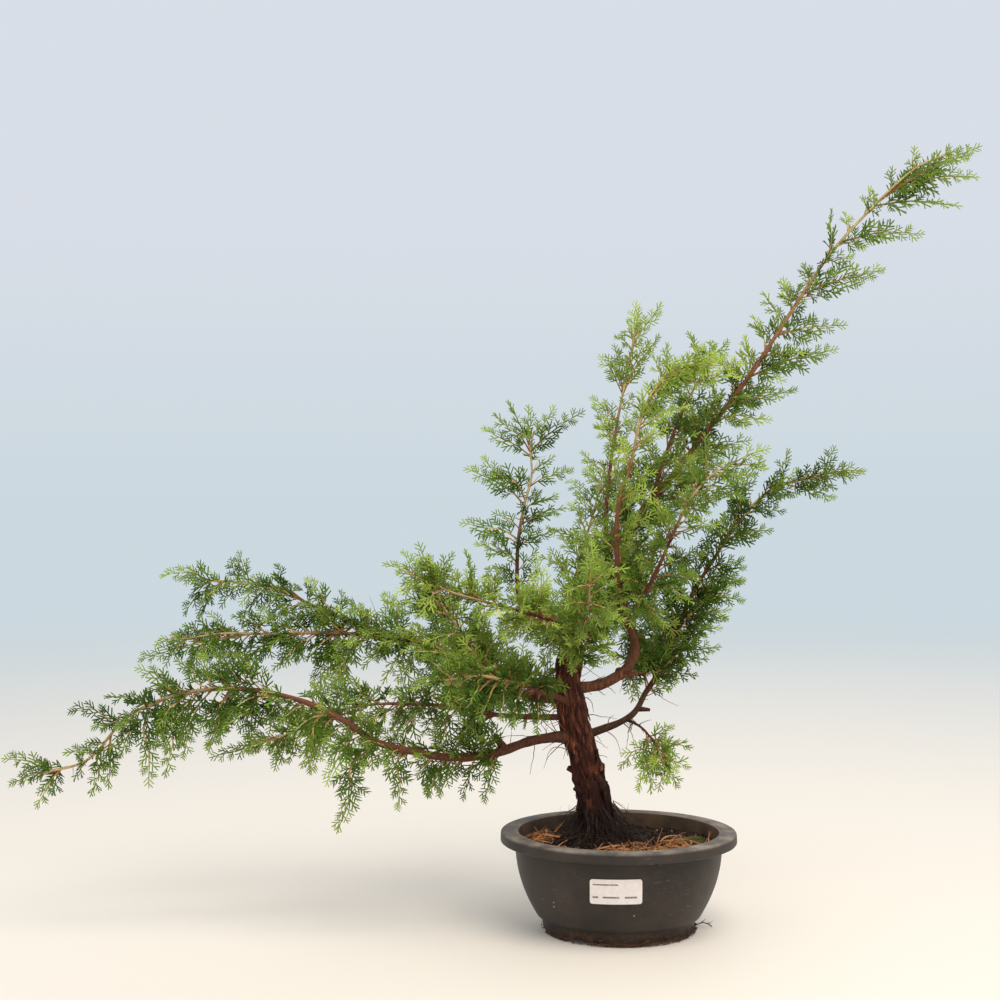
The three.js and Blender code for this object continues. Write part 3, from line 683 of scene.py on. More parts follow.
class Nodes:
    """Short ways to add nodes to a material's or a group's tree."""

    def __init__(self, tree):
        self.tree = tree

    def add(self, kind, settings=None, **inputs):
        """Adds a node. Inputs are values or other nodes' sockets, by name with _ for a space."""
        node = self.tree.nodes.new(kind)
        for name, value in (settings or {}).items():
            setattr(node, name, value)
        for name, value in inputs.items():
            self.plug(node.inputs[name.replace("_", " ")], value)
        return node

    def plug(self, socket, value):
        """Sets a socket to a value, or links another node's socket to it."""
        if isinstance(value, bpy.types.NodeSocket):
            self.tree.links.new(value, socket)
        elif socket.type == "RGBA" and len(value) == 3:
            socket.default_value = (*value, 1)
        else:
            socket.default_value = value

    def place(self, stretch=(1, 1, 1)):
        """Object coordinates in metres, stretched."""
        source = self.add("ShaderNodeTexCoord").outputs["Object"]
        return self.add("ShaderNodeMapping", Vector=source, Scale=stretch).outputs["Vector"]

    def part(self, axis, vector=None):
        """One of the coordinates of a vector, or of the object coordinates."""
        return self.add("ShaderNodeSeparateXYZ", Vector=vector or self.place()).outputs[axis]

    def noise(self, scale, detail=4.0, roughness=0.55, vector=None):
        """Noise over a vector, or over the object coordinates."""
        return self.add(
            "ShaderNodeTexNoise", Vector=vector or self.place(), Scale=scale, Detail=detail,
            Roughness=roughness).outputs["Fac"]

    def attribute(self, name):
        """A number from a point attribute of the mesh."""
        return self.add("ShaderNodeAttribute", {"attribute_name": name}).outputs["Fac"]

    def fit(self, value, low, high, to_low=0.0, to_high=1.0, ease="LINEAR"):
        """Value from low to high, as to_low to to_high, held at both ends."""
        node = self.add("ShaderNodeMapRange", {"interpolation_type": ease})
        for i, item in enumerate((value, low, high, to_low, to_high)):
            self.plug(node.inputs[i], item)
        return node.outputs["Result"]

    def reckon(self, kind, a, b):
        """Arithmetic on two values."""
        node = self.add("ShaderNodeMath", {"operation": kind})
        self.plug(node.inputs[0], a)
        self.plug(node.inputs[1], b)
        return node.outputs[0]

    def times(self, a, b):
        """One value times another."""
        return self.reckon("MULTIPLY", a, b)

    def plus(self, a, b):
        """One value plus another."""
        return self.reckon("ADD", a, b)

    def mix(self, factor, a, b):
        """A mix of two colours."""
        node = self.add("ShaderNodeMix", {"data_type": "RGBA"})
        self.plug(node.inputs[0], factor)
        self.plug(node.inputs[6], a)
        self.plug(node.inputs[7], b)
        return node.outputs[2]

    def shade(self, colour, value, hue=0.5):
        """A colour, darker or lighter and turned in hue."""
        return self.add(
            "ShaderNodeHueSaturation", Color=colour, Hue=hue, Value=value).outputs["Color"]

    def bump(self, height, strength, distance):
        """A normal from a height."""
        node = self.add("ShaderNodeBump", Strength=strength, Distance=distance)
        self.plug(node.inputs["Height"], height)
        return node.outputs["Normal"]

    def group(self, name, make, **inputs):
        """Places a shared group with its own values, and makes the group if it isn't there."""
        tree = bpy.data.node_groups.get(name) or make(name)
        return self.add("ShaderNodeGroup", {"node_tree": tree}, **inputs).outputs


def new_material(name):
    """A material with an empty tree, and its short ways."""
    material = bpy.data.materials.new(name)
    material.use_nodes = True
    material.node_tree.nodes.clear()
    return material, Nodes(material.node_tree)


def surface(nodes, **inputs):
    """The material's Principled BSDF and its output."""
    shader = nodes.add("ShaderNodeBsdfPrincipled", **inputs)
    nodes.add("ShaderNodeOutputMaterial", Surface=shader.outputs["BSDF"])


FLOAT, COLOUR = "NodeSocketFloat", "NodeSocketColor"
BLACK = (0, 0, 0, 1)


def new_group(name, inputs, outputs):
    """An empty shared node group with named sockets: {name: (kind, default)}."""
    tree = bpy.data.node_groups.new(name, "ShaderNodeTree")
    for label, (kind, default) in inputs.items():
        socket = tree.interface.new_socket(label, in_out="INPUT", socket_type=kind)
        socket.default_value = default
    for label, kind in outputs.items():
        tree.interface.new_socket(label, in_out="OUTPUT", socket_type=kind)
    nodes = Nodes(tree)
    return tree, nodes, nodes.add("NodeGroupInput").outputs, nodes.add("NodeGroupOutput").inputs


def make_bark_group(name):
    """Long broken strips of bark: a colour and a height. Fineness 1 is an old trunk's."""
    tree, nodes, given, out = new_group(
        name,
        {"Groove": (COLOUR, BLACK), "Ridge": (COLOUR, BLACK), "Fresh": (COLOUR, BLACK),
         "Fineness": (FLOAT, 1.0)},
        {"Color": COLOUR, "Height": FLOAT})
    fine = nodes.times(given["Fineness"], 420.0)
    strips = nodes.noise(fine, 5, 0.62, nodes.place((1, 1, 0.16)))
    broken = nodes.noise(nodes.times(fine, 0.5), 3, vector=nodes.place((1, 1, 0.5)))
    height = nodes.fit(nodes.plus(strips, nodes.times(broken, 0.5)), 0.5, 1.0)
    base = nodes.mix(height, given["Groove"], given["Ridge"])
    patches = nodes.fit(nodes.noise(120.0, 3, vector=nodes.place((1, 1, 0.35))), 0.52, 0.68)
    worn = nodes.times(patches, nodes.fit(height, 0.35, 0.8))
    nodes.plug(out["Color"], nodes.mix(worn, base, given["Fresh"]))
    nodes.plug(out["Height"], height)
    return tree


def make_dust_group(name):
    """Masks for dust that has settled on a surface, for scuffs and for pale specks."""
    tree, nodes, given, out = new_group(
        name, {"Settled": (FLOAT, 1.0), "Scuffed": (FLOAT, 1.0)},
        {"Dust": FLOAT, "Scuffs": FLOAT, "Specks": FLOAT})
    facing = nodes.part("Z", nodes.add("ShaderNodeNewGeometry").outputs["Normal"])
    cloud = nodes.fit(nodes.noise(55.0, 6, 0.6), 0.3, 0.66)
    dust = nodes.times(nodes.fit(facing, 0.1, 0.95), cloud)
    nodes.plug(out["Dust"], nodes.times(dust, given["Settled"]))
    slant = nodes.add(
        "ShaderNodeMapping", Vector=nodes.place(), Rotation=(0.3, 0.5, 0.4), Scale=(1, 1, 7))
    streaks = nodes.noise(95.0, 5, 0.7, slant.outputs["Vector"])
    scuffs = nodes.times(nodes.fit(streaks, 0.60, 0.74), nodes.fit(nodes.noise(17.0, 2), 0.5, 0.66))
    nodes.plug(out["Scuffs"], nodes.times(scuffs, given["Scuffed"]))
    dots = nodes.add(
        "ShaderNodeTexVoronoi", {"feature": "F1"}, Vector=nodes.place(), Scale=130.0)
    draw = nodes.add("ShaderNodeSeparateColor", Color=dots.outputs["Color"]).outputs["Red"]
    near = nodes.fit(dots.outputs["Distance"], 0.13, 0.05)
    nodes.plug(out["Specks"], nodes.times(nodes.fit(draw, 0.90, 0.91), near))
    return tree


def plastic_material(settings):
    """Dusty moulded plastic, with dried mud on the inside of the wall and dirt at the foot."""
    material, nodes = new_material("Pot plastic")
    masks = nodes.group("Dust and scuffs", make_dust_group, Settled=0.85, Scuffed=0.5)
    mottle = nodes.fit(nodes.noise(26.0, 6, 0.65), 0.35, 0.72)
    base = nodes.mix(mottle, settings.plastic, settings.faded)
    base = nodes.mix(masks["Dust"], base, settings.dust)
    base = nodes.mix(masks["Scuffs"], base, settings.dust)
    base = nodes.mix(masks["Specks"], base, settings.speck)
    height = nodes.part("Z")
    from_axis = nodes.add(
        "ShaderNodeVectorMath", {"operation": "LENGTH"}, Vector=nodes.place((1, 1, 0)))
    within = nodes.fit(from_axis.outputs["Value"], 0.0825, 0.0818)
    above_soil = nodes.fit(height, 0.064, 0.066)
    streaks = nodes.fit(nodes.noise(45.0, 4, vector=nodes.place((1, 1, 0.4))), 0.35, 0.65, 0.15, 0.8)
    mud = nodes.times(nodes.times(within, above_soil), streaks)
    base = nodes.mix(mud, base, settings.dried_mud)
    foot_dirt = nodes.times(
        nodes.fit(height, 0.014, 0.001), nodes.fit(nodes.noise(210.0, 4, 0.7), 0.50, 0.62))
    base = nodes.mix(foot_dirt, base, settings.foot_dirt)
    relief = nodes.plus(nodes.times(nodes.noise(900.0, 3), 0.25), nodes.noise(60.0, 3))
    surface(
        nodes, Base_Color=base, Roughness=nodes.fit(masks["Dust"], 0.0, 0.6, 0.50, 0.85),
        Specular_IOR_Level=0.3, Normal=nodes.bump(relief, 0.35, 0.0006))
    return material


def label_material(settings):
    """Paper with plain ruled bars, a little grubby in patches."""
    material, nodes = new_material("Label paper")
    sheet = nodes.add("ShaderNodeTexCoord").outputs["UV"]
    across, upward = nodes.part("X", sheet), nodes.part("Y", sheet)

    def bar(left, right, low, high):
        """A mask that is 1 inside a rectangle of the label."""
        edge = 0.004
        inside = nodes.fit(across, left, left + edge)
        for value, start, end in (
                (across, right, right - edge), (upward, low, low + edge),
                (upward, high, high - edge)):
            inside = nodes.times(inside, nodes.fit(value, start, end))
        return inside

    ink = bar(0.05, 0.54, 0.76, 0.82)
    for left, right in ((0.05, 0.16), (0.24, 0.56), (0.66, 0.9)):
        ink = nodes.reckon("MAXIMUM", ink, bar(left, right, 0.24, 0.32))
    ink = nodes.times(ink, nodes.fit(nodes.noise(900.0, 2), 0.2, 0.5, 0.5, 0.9))
    fibre = nodes.fit(nodes.noise(260.0, 5), 0.3, 0.8)
    paper = nodes.mix(fibre, settings.label_paper, settings.label_grubby)
    surface(
        nodes, Base_Color=nodes.mix(ink, paper, settings.label_ink), Roughness=0.42,
        Normal=nodes.bump(nodes.noise(700.0, 3), 0.15, 0.0002))
    return material


def soil_material(settings):
    """Damp compost: dark, with dry and reddish crumbs and a little grit."""
    material, nodes = new_material("Soil")
    lumps = nodes.noise(160.0, 8, 0.7)
    patches = nodes.fit(nodes.noise(38.0, 3), 0.3, 0.65, 0.35, 1.0)
    dry = nodes.plus(nodes.fit(lumps, 0.42, 0.75), nodes.times(nodes.attribute("tone"), 0.6))
    dry = nodes.fit(nodes.times(dry, patches), 0.0, 1.0)
    base = nodes.mix(dry, settings.soil, settings.soil_dry)
    surface(
        nodes, Base_Color=nodes.mix(nodes.attribute("fresh"), base, settings.grit),
        Roughness=nodes.fit(lumps, 0.3, 0.7, 0.95, 0.7), Specular_IOR_Level=0.12,
        Normal=nodes.bump(nodes.noise(700.0, 6, 0.7), 0.8, 0.0012))
    return material


def fibre_material(name, dark, light):
    """Thin dead fibres such as roots and dry needles, lighter or darker one by one."""
    material, nodes = new_material(name)
    tone = nodes.fit(nodes.attribute("tone"), -1.0, 1.0)
    mottle = nodes.fit(nodes.noise(500.0, 3), 0.2, 0.8, -0.25, 0.25)
    lightness = nodes.fit(nodes.plus(tone, mottle), 0.0, 1.0)
    surface(
        nodes, Base_Color=nodes.mix(lightness, dark, light),
        Roughness=nodes.fit(lightness, 0.0, 1.0, 0.85, 0.6), Specular_IOR_Level=0.25,
        Normal=nodes.bump(nodes.noise(1600.0, 2), 0.4, 0.0003))
    return material


def moss_material(settings):
    """Short moss, browner in patches."""
    material, nodes = new_material("Moss")
    tone = nodes.fit(nodes.attribute("tone"), -1.0, 1.0)
    patch = nodes.fit(nodes.noise(150.0, 4), 0.35, 0.65)
    green = nodes.mix(tone, settings.moss, settings.moss_tip)
    surface(
        nodes, Base_Color=nodes.mix(nodes.times(patch, 0.6), green, settings.soil_dry),
        Roughness=nodes.fit(patch, 0.0, 1.0, 0.9, 0.75), Specular_IOR_Level=0.2,
        Normal=nodes.bump(nodes.noise(900.0, 4), 0.5, 0.0006))
    return material


def trunk_material(settings):
    """Old bark in long strips, nearly black low down and paler higher up."""
    material, nodes = new_material("Trunk bark")
    bark = nodes.group(
        "Bark strips", make_bark_group, Groove=settings.groove, Ridge=settings.ridge,
        Fresh=settings.fresh, Fineness=1.0)
    tone = nodes.fit(nodes.attribute("tone"), -1.0, 1.0, 0.55, 1.45)
    # Bark is darker towards the bottom: 0.22 times as bright at 8 cm high, 2.1 times at 16 cm and
    # above.
    darker_low_down = nodes.fit(nodes.part("Z"), 0.08, 0.16, 0.22, 2.1)
    surface(
        nodes, Base_Color=nodes.shade(bark["Color"], nodes.times(tone, darker_low_down)),
        Roughness=nodes.fit(bark["Height"], 0.0, 1.0, 0.95, 0.68), Specular_IOR_Level=0.2,
        Normal=nodes.bump(bark["Height"], 0.9, 0.0016))
    return material


def limb_material(settings):
    """Bark that grows redder and smoother along a limb, and yellow at its tip."""
    material, nodes = new_material("Limb bark")
    bark = nodes.group(
        "Bark strips", make_bark_group, Groove=settings.limb_groove, Ridge=settings.limb,
        Fresh=settings.fresh, Fineness=1.7)
    young = nodes.attribute("fresh")
    mottle = nodes.fit(nodes.noise(300.0, 4), 0.25, 0.8, 0.6, 1.25)
    red, pale = nodes.shade(settings.young, mottle), nodes.shade(settings.yellow, mottle)
    grown = nodes.mix(nodes.fit(young, 0.0, 0.5), bark["Color"], red)
    toned = nodes.shade(grown, nodes.fit(nodes.attribute("tone"), -1.0, 1.0, 0.40, 1.60))
    surface(
        nodes, Base_Color=nodes.mix(nodes.fit(young, 0.55, 0.75), toned, pale),
        Roughness=nodes.fit(bark["Height"], 0.0, 1.0, 0.9, 0.6), Specular_IOR_Level=0.25,
        Normal=nodes.bump(bark["Height"], 0.7, 0.0008))
    return material


def leaf_material(settings):
    """Leaves: dark inside the crown, from older leaves and from painted shade, yellower at the tips,
    and a little different shoot by shoot.
    """
    material, nodes = new_material("Juniper leaf")
    fresh = nodes.attribute("fresh")
    # Painted shade: leaves near the wood, inside the crown, mix towards the dark inner colour, on top
    # of the older leaves' own darker green.
    grown = nodes.mix(nodes.fit(fresh, 0.0, 0.55), settings.inner, settings.leaf)
    tipped = nodes.mix(nodes.fit(fresh, 0.55, 1.0), grown, settings.tip)
    drift = nodes.fit(nodes.noise(22.0, 3), 0.3, 0.7, -0.5, 0.5)
    tone = nodes.fit(nodes.plus(nodes.attribute("tone"), drift), -1.5, 1.5)
    hue, value = nodes.fit(tone, 0.0, 1.0, 0.515, 0.485), nodes.fit(tone, 0.0, 1.0, 0.45, 1.70)
    surface(
        nodes, Base_Color=nodes.shade(tipped, value, hue),
        Roughness=nodes.fit(fresh, 0.0, 1.0, 0.62, 0.48), Specular_IOR_Level=0.10,
        Normal=nodes.bump(nodes.noise(1500.0, 2), 0.3, 0.0003))
    return material


def twig_material(settings):
    """Twigs: brown at a shoot's base, then yellow, then green."""
    material, nodes = new_material("Twig")
    fresh = nodes.attribute("fresh")
    yellow = nodes.mix(nodes.fit(fresh, 0.0, 0.45), settings.twig_wood, settings.twig_young)
    green = nodes.mix(nodes.fit(fresh, 0.45, 1.0), yellow, settings.twig)
    value = nodes.fit(nodes.attribute("tone"), -1.0, 1.0, 0.65, 1.35)
    surface(
        nodes, Base_Color=nodes.shade(green, value),
        Roughness=nodes.fit(fresh, 0.0, 1.0, 0.75, 0.5), Specular_IOR_Level=0.3,
        Normal=nodes.bump(nodes.noise(1200.0, 3), 0.4, 0.0003))
    return material


def floor_material(settings):
    """Pale floor that turns into the backdrop's haze with distance from the pot."""
    material, nodes = new_material("Pale floor")
    away = nodes.add("ShaderNodeVectorMath", {"operation": "LENGTH"}, Vector=nodes.place())
    floor = nodes.add("ShaderNodeBsdfPrincipled", Base_Color=settings.floor, Roughness=0.85)
    haze = nodes.add("ShaderNodeEmission", Color=settings.haze)
    share = nodes.fit(away.outputs["Value"], -0.6, 4.2, ease="SMOOTHSTEP")
    mixed = nodes.add("ShaderNodeMixShader", Fac=share)
    nodes.plug(mixed.inputs[1], floor.outputs["BSDF"])
    nodes.plug(mixed.inputs[2], haze.outputs["Emission"])
    nodes.add("ShaderNodeOutputMaterial", Surface=mixed.outputs["Shader"])
    return material


# ---- Pot and label -------------------------------------------------------------------------

def wall_radius(z):
    """The pot wall's outside radius at a height, in millimetres."""
    share = min(max((z - STEP_TOP) / (LIP_UNDER - STEP_TOP), 0), 1)
    return WALL_FOOT_RADIUS + (WALL_TOP_RADIUS - WALL_FOOT_RADIUS) * (1 - (1 - share) ** BELLY_POWER)


def wall_line(low, high, inset, steps=14):
    """Points up or down the wall, a set distance in from its outside."""
    heights = [low + (high - low) * i / steps for i in range(steps + 1)]
    return [(wall_radius(z) - inset, z) for z in heights]


def rounded(corner, before, after, radius, steps=4):
    """Points round a corner of an outline, from the side of one neighbour to the other."""
    corner, before, after = Vector(corner), Vector(before), Vector(after)
    start = corner + (before - corner).normalized() * radius
    end = corner + (after - corner).normalized() * radius
    points = []
    for i in range(steps + 1):
        t = i / steps
        points.append(tuple((1 - t) ** 2 * start + 2 * t * (1 - t) * corner + t ** 2 * end))
    return points


def make_pot(settings):
    """The pot's moulding with its rounded lip, foot arches and drainage holes."""
    top, under, rim = POT_HEIGHT, LIP_UNDER, LIP_RADIUS
    mouth = WALL_TOP_RADIUS - WALL
    bead = settings.bead / MM
    foot_in = FOOT_RADIUS - FOOT_WALL
    outline = [
        (0, 0), (PAD_RADIUS, 0), (PAD_RADIUS + 1, FLOOR_UNDER), (foot_in, FLOOR_UNDER),
        (foot_in, 0.5), (foot_in + 0.5, 0), (FOOT_RADIUS - 0.6, 0), (FOOT_RADIUS, 0.6),
        (FOOT_RADIUS + 0.9, FOOT_HEIGHT - 1), (FOOT_RADIUS + 2, FOOT_HEIGHT),
        *wall_line(STEP_TOP, under - 1.2, 0),
        *rounded((WALL_TOP_RADIUS, under), (WALL_TOP_RADIUS, under - 4), (rim, under), 1.2, 3),
        *rounded((rim, under), (WALL_TOP_RADIUS, under), (rim, top), 1.8),
        *rounded((rim - 0.3, top), (rim, under), (mouth, top), 2.0),
        (mouth + 4.2, top), (mouth + 3.7, top + bead), (mouth + 3.1, top + bead),
        (mouth + 2.6, top),
        *rounded((mouth, top), (rim, top), (mouth, under), 0.9, 3),
        *wall_line(under, STEP_TOP + WALL, WALL),
        (FOOT_RADIUS - WALL, FOOT_HEIGHT), (FOOT_RADIUS - WALL, FLOOR_TOP), (0, FLOOR_TOP),
    ]
    shape = spun(outline, 192)
    pitch = TURN / ARCHES
    half_arch = ARCH_WIDTH / FOOT_RADIUS / 2
    for vert in shape.verts:
        radius = vert.co.xy.length / MM
        if vert.co.z / MM > 0.7 or radius < foot_in - 0.5:
            continue
        turn = math.atan2(vert.co.y, vert.co.x)
        from_middle = abs((turn + pitch / 2) % pitch - pitch / 2)
        share = 1 - min(from_middle / half_arch, 1) ** 6
        vert.co.z += ARCH_HEIGHT * MM * share
    body = bpy.data.objects.new("pot_body", mesh_of("pot_body", shape))
    cutter_shape = bmesh.new()
    for i in range(HOLES):
        spot = spoke(TURN * (i + 0.5) / HOLES) * HOLE_CIRCLE * MM
        bmesh.ops.create_cone(
            cutter_shape, cap_ends=True, segments=24, radius1=HOLE_RADIUS * MM,
            radius2=HOLE_RADIUS * MM, depth=FLOOR_TOP * 4 * MM, matrix=Matrix.Translation(spot))
    cutter = bpy.data.objects.new("pot_holes", mesh_of("pot_holes", cutter_shape, smooth=False))
    for item in (body, cutter):
        bpy.context.scene.collection.objects.link(item)
    cut = body.modifiers.new("Drainage holes", "BOOLEAN")
    cut.operation, cut.solver, cut.object = "DIFFERENCE", "EXACT", cutter
    evaluated = body.evaluated_get(bpy.context.evaluated_depsgraph_get())
    mesh = bpy.data.meshes.new_from_object(evaluated)
    for item in (body, cutter):
        bpy.data.objects.remove(item)
    mesh.set_sharp_from_angle(angle=math.radians(50))
    add_piece("pot_moulding", mesh, [plastic_material(settings)], ["pot"])


def make_label(settings):
    """The label, a thin sheet with round corners that follows the pot's wall."""
    low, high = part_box("label")
    centre = (low + high) / 2
    half_wide, half_high, corner = (high.x - low.x) / 2, (high.z - low.z) / 2, 0.002
    lift, thickness, tilt = 0.0002, 0.00025, math.radians(0.9)
    shape = bmesh.new()
    grid = bmesh.ops.create_grid(shape, x_segments=40, y_segments=20, size=0.5)
    uv_layer = shape.loops.layers.uv.verify()
    for face in shape.faces:
        for loop in face.loops:
            loop[uv_layer].uv = (loop.vert.co.x + 0.5, loop.vert.co.y + 0.5)
    for vert in grid["verts"]:
        across, upward = vert.co.x * 2 * half_wide, vert.co.y * 2 * half_high
        past_x = abs(across) - (half_wide - corner)
        past_y = abs(upward) - (half_high - corner)
        if past_x > 0 and past_y > 0:
            shrink = max(past_x, past_y) / math.hypot(past_x, past_y)
            across = math.copysign(half_wide - corner + past_x * shrink, across)
            upward = math.copysign(half_high - corner + past_y * shrink, upward)
        x = centre.x + across * math.cos(tilt) - upward * math.sin(tilt)
        z = centre.z + upward * math.cos(tilt) + across * math.sin(tilt)
        radius = wall_radius(z / MM) * MM + lift
        vert.co = (x, -math.sqrt(radius ** 2 - x ** 2), z)
    bmesh.ops.recalc_face_normals(shape, faces=shape.faces)
    if shape.faces[0].normal.y > 0:
        bmesh.ops.reverse_faces(shape, faces=shape.faces)
    bmesh.ops.solidify(shape, geom=shape.faces[:], thickness=-thickness)
    bmesh.ops.recalc_face_normals(shape, faces=shape.faces)
    mesh = mesh_of("label", shape)
    mesh.set_sharp_from_angle(angle=math.radians(50))
    add_piece("paper_label", mesh, [label_material(settings)], ["label"])


# ---- Soil and what lies on it --------------------------------------------------------------

def soil_height(x, y, lump):
    """The soil's height in metres at a place, lumps included."""
    coarse = noise.fractal(Vector((x * 55, y * 55, 0.3)), 1.0, 2.0, 4)
    fine = noise.noise(Vector((x * 260, y * 260, 4.1)))
    return SOIL_TOP * MM + lump * (0.55 * coarse + 0.28 * fine - 0.1)


def mat_height(x, y):
    """The root mat's height in metres over a place, or nothing outside it."""
    away = math.hypot(x - TRUNK_X * MM, y) / (ROOT_MAT_RADIUS * MM)
    rough = 0.16 * noise.noise(Vector((x * 90, y * 90, 7.7)))
    share = 1 - min(max(away + rough, 0), 1) ** 1.7
    return SOIL_TOP * MM - 0.001 + ROOT_MAT_HEIGHT * MM * share


def ground_height(x, y, lump):
    """The height of whatever is on top at a place."""
    return max(soil_height(x, y, lump), mat_height(x, y))


def make_soil(settings):
    """The lumpy soil with loose crumbs on it."""
    inner = WALL + 0.15
    edge = wall_radius(SOIL_TOP) - inner
    rings = 64
    outline = [
        (0, FLOOR_TOP + 0.1), (FOOT_RADIUS - inner, FLOOR_TOP + 0.1),
        (FOOT_RADIUS - inner, FOOT_HEIGHT), *wall_line(STEP_TOP + inner, SOIL_TOP - 2, inner, 8),
        *[(edge * (1 - i / rings), SOIL_TOP) for i in range(rings + 1)],
    ]
    shape = spun(outline, 200)
    for vert in shape.verts:
        if vert.co.z > (SOIL_TOP - 1) * MM:
            vert.co.z = soil_height(vert.co.x, vert.co.y, settings.lump)
    body = mesh_of("soil_body", shape)
    rng = random.Random(11)
    stamps = Stamps({"crumb": crumb_shape()})
    for _ in range(settings.crumbs):
        turn, away = rng.uniform(0, TURN), (edge - 1.5) * MM * math.sqrt(rng.random())
        x, y = away * math.cos(turn), away * math.sin(turn)
        size = rng.uniform(0.4, 1.0) ** 2 * 0.0016
        squash = Matrix.Diagonal((rng.uniform(0.6, 1.3), rng.uniform(0.6, 1.3), rng.uniform(0.5, 1), 1))
        z = ground_height(x, y, settings.lump) + size * 0.3
        matrix = Matrix.Translation((x, y, z)) @ Matrix.Rotation(rng.uniform(0, TURN), 4, "Z")
        matrix = matrix @ Matrix.Rotation(rng.uniform(-0.6, 0.6), 4, "X") @ squash
        grit = 0.8 if rng.random() < 0.02 else 0.0
        stamps.add("crumb", matrix @ Matrix.Scale(size, 4), grit, rng.uniform(-1, 1))
    mesh = stamps.mesh("soil", body)
    add_piece("compost", mesh, [soil_material(settings)], ["soil"])


def make_root_mat(settings):
    """The mound at the trunk's foot, with fine roots over it and up the trunk."""
    rings, skirt_depth = 26, 0.002
    shape = bmesh.new()
    bmesh.ops.create_circle(
        shape, cap_ends=True, segments=96, radius=ROOT_MAT_RADIUS * MM * 1.02,
        matrix=Matrix.Translation((TRUNK_X * MM, 0, 0)))
    for _ in range(rings):
        middle_face = [f for f in shape.faces if len(f.verts) > 4]
        bmesh.ops.inset_region(
            shape, faces=middle_face, thickness=ROOT_MAT_RADIUS * MM / (rings + 1))
    bmesh.ops.poke(shape, faces=[f for f in shape.faces if len(f.verts) > 4])
    for vert in shape.verts:
        vert.co.z = mat_height(vert.co.x, vert.co.y)
        vert.co.z += 0.0006 * noise.noise(vert.co * 700)
    bmesh.ops.recalc_face_normals(shape, faces=shape.faces)
    rims = [e for e in shape.edges if e.is_boundary]
    skirt = bmesh.ops.extrude_edge_only(shape, edges=rims)["geom"]
    low = [item for item in skirt if isinstance(item, bmesh.types.BMVert)]
    bmesh.ops.translate(shape, verts=low, vec=(0, 0, -skirt_depth))
    bmesh.ops.holes_fill(shape, edges=[e for e in shape.edges if e.is_boundary], sides=0)
    bmesh.ops.recalc_face_normals(shape, faces=shape.faces)
    body = mesh_of("mat_body", shape)
    rng = random.Random(23)
    stamps = Stamps({"crumb": crumb_shape(), "twig": twig_shape(4, 1)})
    middle = Vector((TRUNK_X * MM, 0, 0))
    for _ in range(420):
        out = spoke(rng.uniform(0, TURN))
        start = middle + out * rng.uniform(0.012, 0.033)
        start.z = mat_height(start.x, start.y) + 0.0003
        lean = UP.cross(out) * rng.gauss(0, 0.8) + out * rng.uniform(0.3, 1)
        lean.z = rng.uniform(-0.25, 0.25)
        strand(
            stamps, rng, start, lean, rng.uniform(0.008, 0.026), rng.uniform(0.00018, 0.0005),
            pull=UP * -0.10, wander=0.16, tone=rng.uniform(-1, 1))
    for _ in range(90):
        out = spoke(rng.uniform(0, TURN))
        start = middle + out * rng.uniform(0.017, 0.030)
        start.z = mat_height(start.x, start.y)
        lean = UP - out * rng.uniform(-0.5, 0.5)
        strand(
            stamps, rng, start, lean, rng.uniform(0.010, 0.030), rng.uniform(0.00014, 0.00030),
            pull=out * -0.05, wander=0.22, tone=rng.uniform(-1, 1))
    for _ in range(300):
        out = spoke(rng.uniform(0, TURN))
        start = middle + out * rng.uniform(0.0125, 0.0155)
        start.z = SOIL_TOP * MM + 0.004 + 0.030 * rng.random() ** 1.4
        lean = out * rng.uniform(0.1, 1.3) + UP.cross(out) * rng.gauss(0, 0.5) - UP
        strand(
            stamps, rng, start, lean, rng.uniform(0.012, 0.034), rng.uniform(0.00025, 0.0006),
            pull=out * rng.uniform(-0.03, 0.06), wander=0.14, tone=rng.uniform(-1, 0.3))
    for _ in range(900):
        turn, away = rng.uniform(0, TURN), ROOT_MAT_RADIUS * MM * math.sqrt(rng.random())
        x, y = middle.x + away * math.cos(turn), away * math.sin(turn)
        size = rng.uniform(0.4, 1.0) ** 2 * 0.0015
        matrix = Matrix.Translation((x, y, mat_height(x, y) + size * 0.3))
        stamps.add(
            "crumb", matrix @ Matrix.Rotation(rng.uniform(0, TURN), 4, "Z") @ Matrix.Scale(size, 4),
            0, rng.uniform(-1, 1))
    mesh = stamps.mesh("root_mat", body)
    fibre = fibre_material("Root fibre", settings.soil, settings.root)
    add_piece("root_fibres", mesh, [soil_material(settings), fibre], ["root_mat"])


def make_litter(settings):
    """Loose dry needles, heaped more or less as they fell."""
    middle_limit, tip_limit = 0.076, 0.078
    shapes = {f"straw_{i}": straw_shape(bend) for i, bend in enumerate((0.02, 0.09, 0.17, 0.26))}
    straw = fibre_material("Dry needle", settings.straw_dark, settings.straw)
    for seed, (name, (x, y, long, wide)) in enumerate(LITTERS.items()):
        rng = random.Random(40 + seed)
        stamps = Stamps(shapes)
        for _ in range(80):
            loose = 0.5 if rng.random() < 0.7 else 1.2
            here = Vector((x + rng.gauss(0, loose) * long, y + rng.gauss(0, loose) * wide, 0)) * MM
            if here.xy.length > middle_limit:
                here = here.normalized() * middle_limit * rng.uniform(0.8, 1)
            here.z = ground_height(here.x, here.y, settings.lump) + rng.uniform(0.0003, 0.004)
            turn = rng.uniform(0, TURN)
            steep = rng.uniform(-0.1, 0.3) if rng.random() < 0.7 else rng.uniform(0.4, 1.3)
            heading = Vector((math.cos(turn), math.sin(turn), steep))
            length = settings.needle_length * rng.uniform(0.4, 1)
            reach = here + heading.normalized() * length / 2
            if reach.xy.length > tip_limit:
                heading.x, heading.y = -heading.x, -heading.y
            matrix = aim(here, heading, length, length * rng.uniform(0.7, 1), UP)
            matrix = matrix @ Matrix.Rotation(rng.uniform(-0.9, 0.9), 4, "Z")
            stamps.add(rng.choice(list(shapes)), matrix, 0, rng.uniform(-1, 1))
        add_piece(f"{name}_needles", stamps.mesh(name), [straw], [name])


